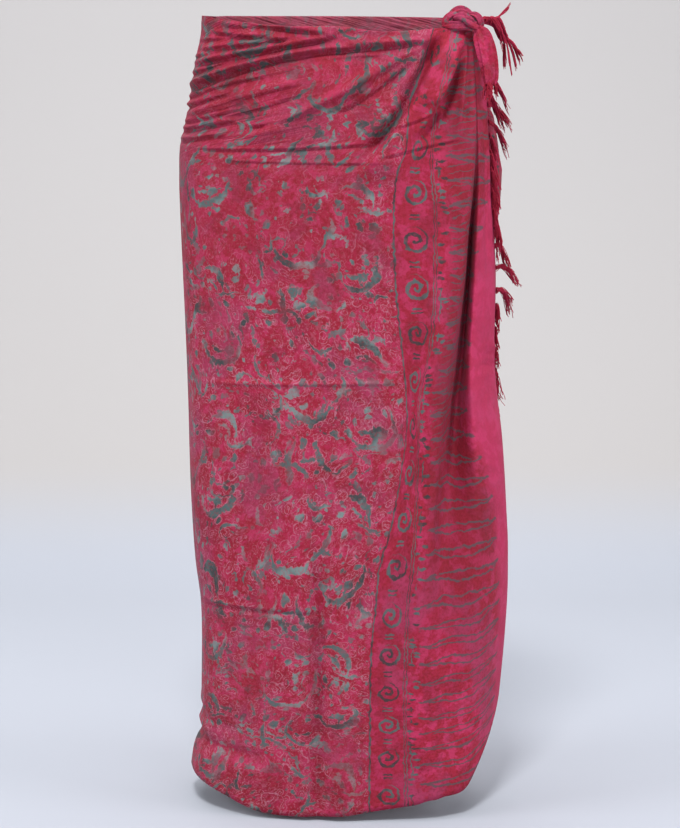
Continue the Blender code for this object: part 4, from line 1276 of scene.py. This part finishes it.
def gathered_material(name, stain):
    """The same dyed cloth where it is rolled or knotted, with stray patches of grey."""
    board = Board(name)
    point = board.make("ShaderNodeTexCoord", None, None, output="Object")
    base, grain, _ = ground(board, point, False)
    patch = board.noise(point, 95.0, 3.0, 0.55, False).above(0.56, 0.03) * stain
    colour = board.mix(patch, base, SLATE)
    cloth_shell(board)
    fine = board.noise(point, 900.0, 2.0, 0.6, False)
    crumple = board.noise(point, 230.0, 3.0, 0.6, False)
    return board.finish(colour, 0.66 + grain * 0.14, crumple * 2.2 + fine * 0.25)


def thread_material(name):
    """Dyed fringe thread."""
    board = Board(name)
    point = board.make("ShaderNodeTexCoord", None, None, output="Object")
    tone = board.noise(point, 60.0, 3.0, 0.6, False)
    fine = board.noise(point, 1500.0, 2.0, 0.6, False)
    colour = board.mix(tone.above(0.5, 0.15), RED, CRIMSON)
    colour = board.mix(fine.above(0.55, 0.15) * 0.30, colour, PINK)
    cloth_shell(board)
    return board.finish(colour, 0.70 + fine * 0.1, fine * 0.1)


def studio_material(name):
    """Plain pale paper, a little cooler on the floor; clear from behind, for views of the back."""
    board = Board(name)
    point = board.make("ShaderNodeTexCoord", None, None, output="Object")
    height = board.make("ShaderNodeSeparateXYZ", None, {0: point}).also("Z")
    fine = board.noise(point, 3.0, 2.0, 0.5, False)
    colour = board.mix(height.above(-0.90, 0.08), FLOOR_PAPER, WALL_PAPER)
    material = board.finish(colour, 0.9 + fine * 0.05)
    behind = board.make("ShaderNodeNewGeometry", output="Backfacing")
    clear = board.make("ShaderNodeBsdfTransparent")
    paper = Wire(board, board.shader.outputs["BSDF"])
    either = board.make("ShaderNodeMixShader", None, {0: behind, 1: paper, 2: clear})
    board.tree.links.new(either.socket, board.tree.nodes["Material Output"].inputs["Surface"])
    return material


class SarongClothSettings(bpy.types.PropertyGroup):
    """How finely the cloth is made."""
    front_columns: bpy.props.IntProperty(
        name="Front Columns", description="Columns of the outer stretch", default=158, min=40)
    top_rows: bpy.props.IntProperty(
        name="Top Rows", description="Rows in the creased band below the waist", default=146,
        min=20)
    lower_rows: bpy.props.IntProperty(
        name="Lower Rows", description="Rows below the creased band", default=150, min=20)
    back_columns: bpy.props.IntProperty(
        name="Back Columns", description="Columns of the wound stretch", default=150, min=30)
    top_zone: bpy.props.FloatProperty(
        name="Top Zone", description="Height of the creased band", default=0.170,
        subtype="DISTANCE", unit="LENGTH")
    thickness: bpy.props.FloatProperty(
        name="Thickness", description="Wall of the cloth", default=0.0012,
        precision=4, subtype="DISTANCE", unit="LENGTH")


class SarongFringeSettings(bpy.types.PropertyGroup):
    """How full the fringe is."""
    threads: bpy.props.IntProperty(
        name="Threads", description="Threads in each tassel", default=40, min=6)
    radius: bpy.props.FloatProperty(
        name="Thread Radius", description="Radius of one thread", default=0.00045,
        precision=5, subtype="DISTANCE", unit="LENGTH")
    sides: bpy.props.IntProperty(
        name="Thread Sides", description="Sides of one thread", default=4, min=3)
    width: bpy.props.FloatProperty(
        name="Tassel Width", description="Width of a tassel at its root", default=0.0085,
        precision=4, subtype="DISTANCE", unit="LENGTH")
    seed: bpy.props.IntProperty(name="Seed", description="Seed of the threads' lie", default=7)


class SARONG_OT_front(bpy.types.Operator):
    """Build the outer stretch of cloth with its folded fall"""
    bl_idname = "sarong.front"
    bl_label = "Outer Stretch"

    def execute(self, context):
        settings = context.scene.sarong_cloth
        places = front_places(settings.front_columns)
        points, spots = front_grid(places, settings)
        materials = [batik_material("batik_face", 1.0), batik_material("batik_wrong_side", 0.45)]
        x, z = points[:, :, 0], points[:, :, 2]
        crimp = ease((0.02 - x) / 0.16) * ease((z + 0.175) / 0.06) + 0.5 * ease((z + 0.02) / 0.03)
        item = sheet_object("front_cloth", points, spots, crimp, settings.thickness, materials)
        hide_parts("front_panel")
        return {"FINISHED"}


class SARONG_OT_wound(bpy.types.Operator):
    """Build the wound stretch: hidden end, tied side, back and plain side"""
    bl_idname = "sarong.wound"
    bl_label = "Wound Stretch"

    def execute(self, context):
        settings = context.scene.sarong_cloth
        front_points, front_spots = front_grid(front_places(60), settings)
        seam = (-front_points[:, 0, 2], front_spots[:, 0, 0])
        points = back_grid(settings)
        spots = back_print(points, seam)
        materials = [bpy.data.materials["batik_face"], bpy.data.materials["batik_wrong_side"]]
        crimp = ease((points[:, :, 2] + 0.175) / 0.06)
        item = sheet_object("wound_cloth", points, spots, crimp, settings.thickness, materials)
        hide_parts("wrap_back")
        return {"FINISHED"}


class SARONG_OT_knot(bpy.types.Operator):
    """Build the knot and the two tails that leave it"""
    bl_idname = "sarong.knot"
    bl_label = "Knot and Tails"

    def execute(self, context):
        cloth = gathered_material("batik_gathered", 0.65)
        tail_cloth = gathered_material("batik_tail", 0.12)
        knot = rolls_object("knot_cloth", (
            (ROLLS["core"], 20, 14, 5, 0.06, 1.0),
            (ROLLS["loop"], 34, 28, 4, 0.26, 2.0),
            (ROLLS["left_lobe"], 34, 24, 4, 0.26, 1.6),
            (ROLLS["right_lobe"], 34, 24, 5, 0.26, -1.8),
            (ROLLS["middle"], 34, 24, 4, 0.28, 2.4),
            (ROLLS["band"], 40, 36, 5, 0.26, 2.2),
            (ROLLS["strand"], 20, 24, 3, 0.24, 4.0),
        ), cloth)
        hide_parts("knot")
        roll = (ROLLS["long_tail"], 48, 44, 6, 0.34, 1.0)
        long_tail = rolls_object("long_tail", (roll,), tail_cloth)
        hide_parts("tail_long")
        roll = (ROLLS["short_tail"], 36, 40, 5, 0.36, 2.6)
        short_tail = rolls_object("short_tail", (roll,), tail_cloth)
        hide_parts("tail_short")
        return {"FINISHED"}


class SARONG_OT_fringe(bpy.types.Operator):
    """Build the frayed, knotted fringe of the outer end and of the tails"""
    bl_idname = "sarong.fringe"
    bl_label = "Fringe"

    def execute(self, context):
        settings = context.scene.sarong_fringe
        dice = random.Random(settings.seed)
        material = thread_material("fringe_thread")
        lines = []
        for z, reach, drop, curl in TASSELS:
            root, lean = edge_place(z)
            out = Vector((lean[0], lean[1], 0.0)) * reach
            lines += lock_lines(root, out, drop, curl, settings.width, settings.threads, dice)
        item = threads_object("end_fringe_threads", lines, settings, material)
        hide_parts("end_fringe")
        lines = []
        for x, y, drop in LONG_TAIL_LOCKS:
            root = (0.1845 + x * 1.2, -0.1010 + y, -0.0660)
            lines += lock_lines(root, (x, y, 0.0), drop, 0.0, 0.0078, settings.threads, dice)
        for x, y, drop in SHORT_TAIL_LOCKS:
            root = (0.2020 + x * 0.3, -0.0680 + y, -0.0110)
            lines += lock_lines(root, (x, y, 0.0), drop, 0.1, 0.0066, settings.threads, dice)
        stray = (0.190, -0.072, 0.0125)
        lines += lock_lines(stray, (0.018, 0.0, 0.004), -0.010, 0.0, 0.0024, 12, dice)
        for root, out, drop in TAIL_STRANDS:
            lines += lock_lines(root, out, drop, 0.9, 0.0058, settings.threads, dice)
        tails = threads_object("tail_fringe_threads", lines, settings, material)
        return {"FINISHED"}


class SARONG_OT_stage(bpy.types.Operator):
    """Set up the plain floor, backdrop, soft lights and camera"""
    bl_idname = "sarong.stage"
    bl_label = "Studio"

    def execute(self, context):
        build_stage()
        build_lights()
        build_camera()
        return {"FINISHED"}


class SARONG_PT_panel(bpy.types.Panel):
    """Sidebar panel of the sarong"""
    bl_label = "Sarong"
    bl_idname = "SARONG_PT_panel"
    bl_space_type = "VIEW_3D"
    bl_region_type = "UI"
    bl_category = "Sarong"

    def draw(self, context):
        layout = self.layout
        scene = context.scene
        shown = (
            (scene.sarong_cloth, ("front_columns", "top_rows", "lower_rows", "back_columns")),
            (scene.sarong_cloth, ("top_zone", "thickness")),
            (scene.sarong_fringe, ("threads", "radius", "sides", "width", "seed")),
        )
        for settings, names in shown:
            for name in names:
                layout.prop(settings, name)
        for piece in ("front", "wound", "knot", "fringe", "stage"):
            layout.operator("sarong." + piece)


def front_places(count):
    """Places of the outer stretch's columns, closest round the folded fall."""
    places = []
    for start, end, share in COLUMN_SPANS:
        steps = max(2, round(count * share))
        places += [start + (end - start) * k / steps for k in range(steps)]
    return np.array(places + [PLACES[-1]])


def front_grid(places, settings):
    """Points and print coordinates of the outer stretch."""
    edges = table_curve(FRONT_EDGES, places)
    heights = row_heights(edges, settings.top_zone, settings.top_rows, settings.lower_rows)
    points = np.array([front_surface(places, row) for row in heights])
    return points, front_print(points, places, edges[:, 1])


def back_grid(settings):
    """Points of the wound stretch."""
    first = LAP_END_ANGLE - 360.0
    share = np.linspace(0.0, 1.0, settings.back_columns + 1)
    seam_table = []
    for z, left, _, _, back, _ in BODY:
        x = -seam_x(left, back) / left
        seam_table.append((z, 180.0 - math.degrees(math.acos(x ** (OVAL_POWER / 2)))))
    edges = table_curve(BACK_EDGES, first + (BACK_EDGE_ANGLE - first) * share)
    rows = settings.top_rows // 2, settings.lower_rows // 3
    heights = row_heights(edges, settings.top_zone, *rows)
    points = []
    for row in heights:
        end = table_curve(seam_table, row)[:, 0]
        line = back_surface(first + (end - first) * share, row)
        body = table_curve(BODY, row[-1:])[0]
        line[-1, 0] = seam_x(body[0], body[3])
        line[-1, 1] = SEAM_Y
        points.append(line)
    return np.array(points)


def edge_place(z):
    """Point on the outer end of the cloth at a height, and the way its fringe leans."""
    here = front_surface(np.array([1.0]), np.array([z]))[0]
    before = front_surface(np.array([FRINGE_FROM]), np.array([z]))[0]
    run = (here - before)[:2]
    run /= np.linalg.norm(run)
    forward = FRINGE_LEANS[0] if z > FRINGE_TURN else FRINGE_LEANS[1]
    lean = run + np.array((run[1], -run[0])) * forward
    return here, lean / np.linalg.norm(lean)


def build_stage():
    """Floor that turns up into a backdrop."""
    bend = 1.2
    steps = 12
    half_width = 5.0
    profile = [(-4.0, 0.0), (bend, 0.0)]
    for k in range(1, steps + 1):
        turn = math.pi / 2 * k / steps
        profile.append((bend + bend * math.sin(turn), bend - bend * math.cos(turn)))
    profile.append((2 * bend, 4.0))
    corners = []
    for y, z in profile:
        corners += [(-half_width, y, FLOOR_Z + z), (half_width, y, FLOOR_Z + z)]
    faces = [(2 * k, 2 * k + 1, 2 * k + 3, 2 * k + 2) for k in range(len(profile) - 1)]
    mesh = bpy.data.meshes.new("studio_sweep")
    mesh.from_pydata(corners, [], faces)
    mesh.shade_smooth()
    mesh.materials.append(studio_material("studio_paper"))
    item = bpy.data.objects.new("studio_sweep", mesh)
    bpy.context.scene.collection.objects.link(item)


def add_light(name, place, target, size, energy, colour):
    """One soft area light aimed at a point."""
    data = bpy.data.lights.new(name, "AREA")
    data.shape = "RECTANGLE"
    data.size, data.size_y = size
    data.energy = energy
    data.color = colour
    item = bpy.data.objects.new(name, data)
    item.location = place
    item.rotation_euler = (Vector(target) - Vector(place)).to_track_quat("-Z", "Y").to_euler()
    bpy.context.scene.collection.objects.link(item)


def build_lights():
    """Large soft lights and an even surround."""
    world = bpy.data.worlds.new("studio_air")
    world.use_nodes = True
    air = world.node_tree.nodes["Background"].inputs
    air["Color"].default_value = (0.94, 0.96, 1.0, 1.0)
    air["Strength"].default_value = 0.20
    bpy.context.scene.world = world
    bpy.context.scene.view_settings.view_transform = "Standard"
    for row in LIGHTS:
        add_light(*row)


def build_camera():
    """Camera at the photograph's place: level with the hips, looking slightly down."""
    data = bpy.data.cameras.new("camera")
    data.lens = SENSOR * PHOTO_FOCUS / PHOTO_HEIGHT
    data.sensor_width = SENSOR
    item = bpy.data.objects.new("camera", data)
    item.location = CAMERA_PLACE
    item.rotation_euler = (math.radians(90.0 - LOOK_DOWN), 0.0, 0.0)
    bpy.context.scene.collection.objects.link(item)
    bpy.context.scene.camera = item


CLASSES = (
    SarongClothSettings,
    SarongFringeSettings,
    SARONG_OT_front,
    SARONG_OT_wound,
    SARONG_OT_knot,
    SARONG_OT_fringe,
    SARONG_OT_stage,
    SARONG_PT_panel,
)


def register():
    for item in CLASSES:
        bpy.utils.register_class(item)
    bpy.types.Scene.sarong_cloth = bpy.props.PointerProperty(type=SarongClothSettings)
    bpy.types.Scene.sarong_fringe = bpy.props.PointerProperty(type=SarongFringeSettings)


def unregister():
    del bpy.types.Scene.sarong_fringe
    del bpy.types.Scene.sarong_cloth
    for item in reversed(CLASSES):
        bpy.utils.unregister_class(item)


def main():
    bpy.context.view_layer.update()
    register()
    bpy.ops.sarong.front()
    bpy.ops.sarong.wound()
    bpy.ops.sarong.knot()
    bpy.ops.sarong.fringe()
    bpy.ops.sarong.stage()


if __name__ == "__main__":
    main()
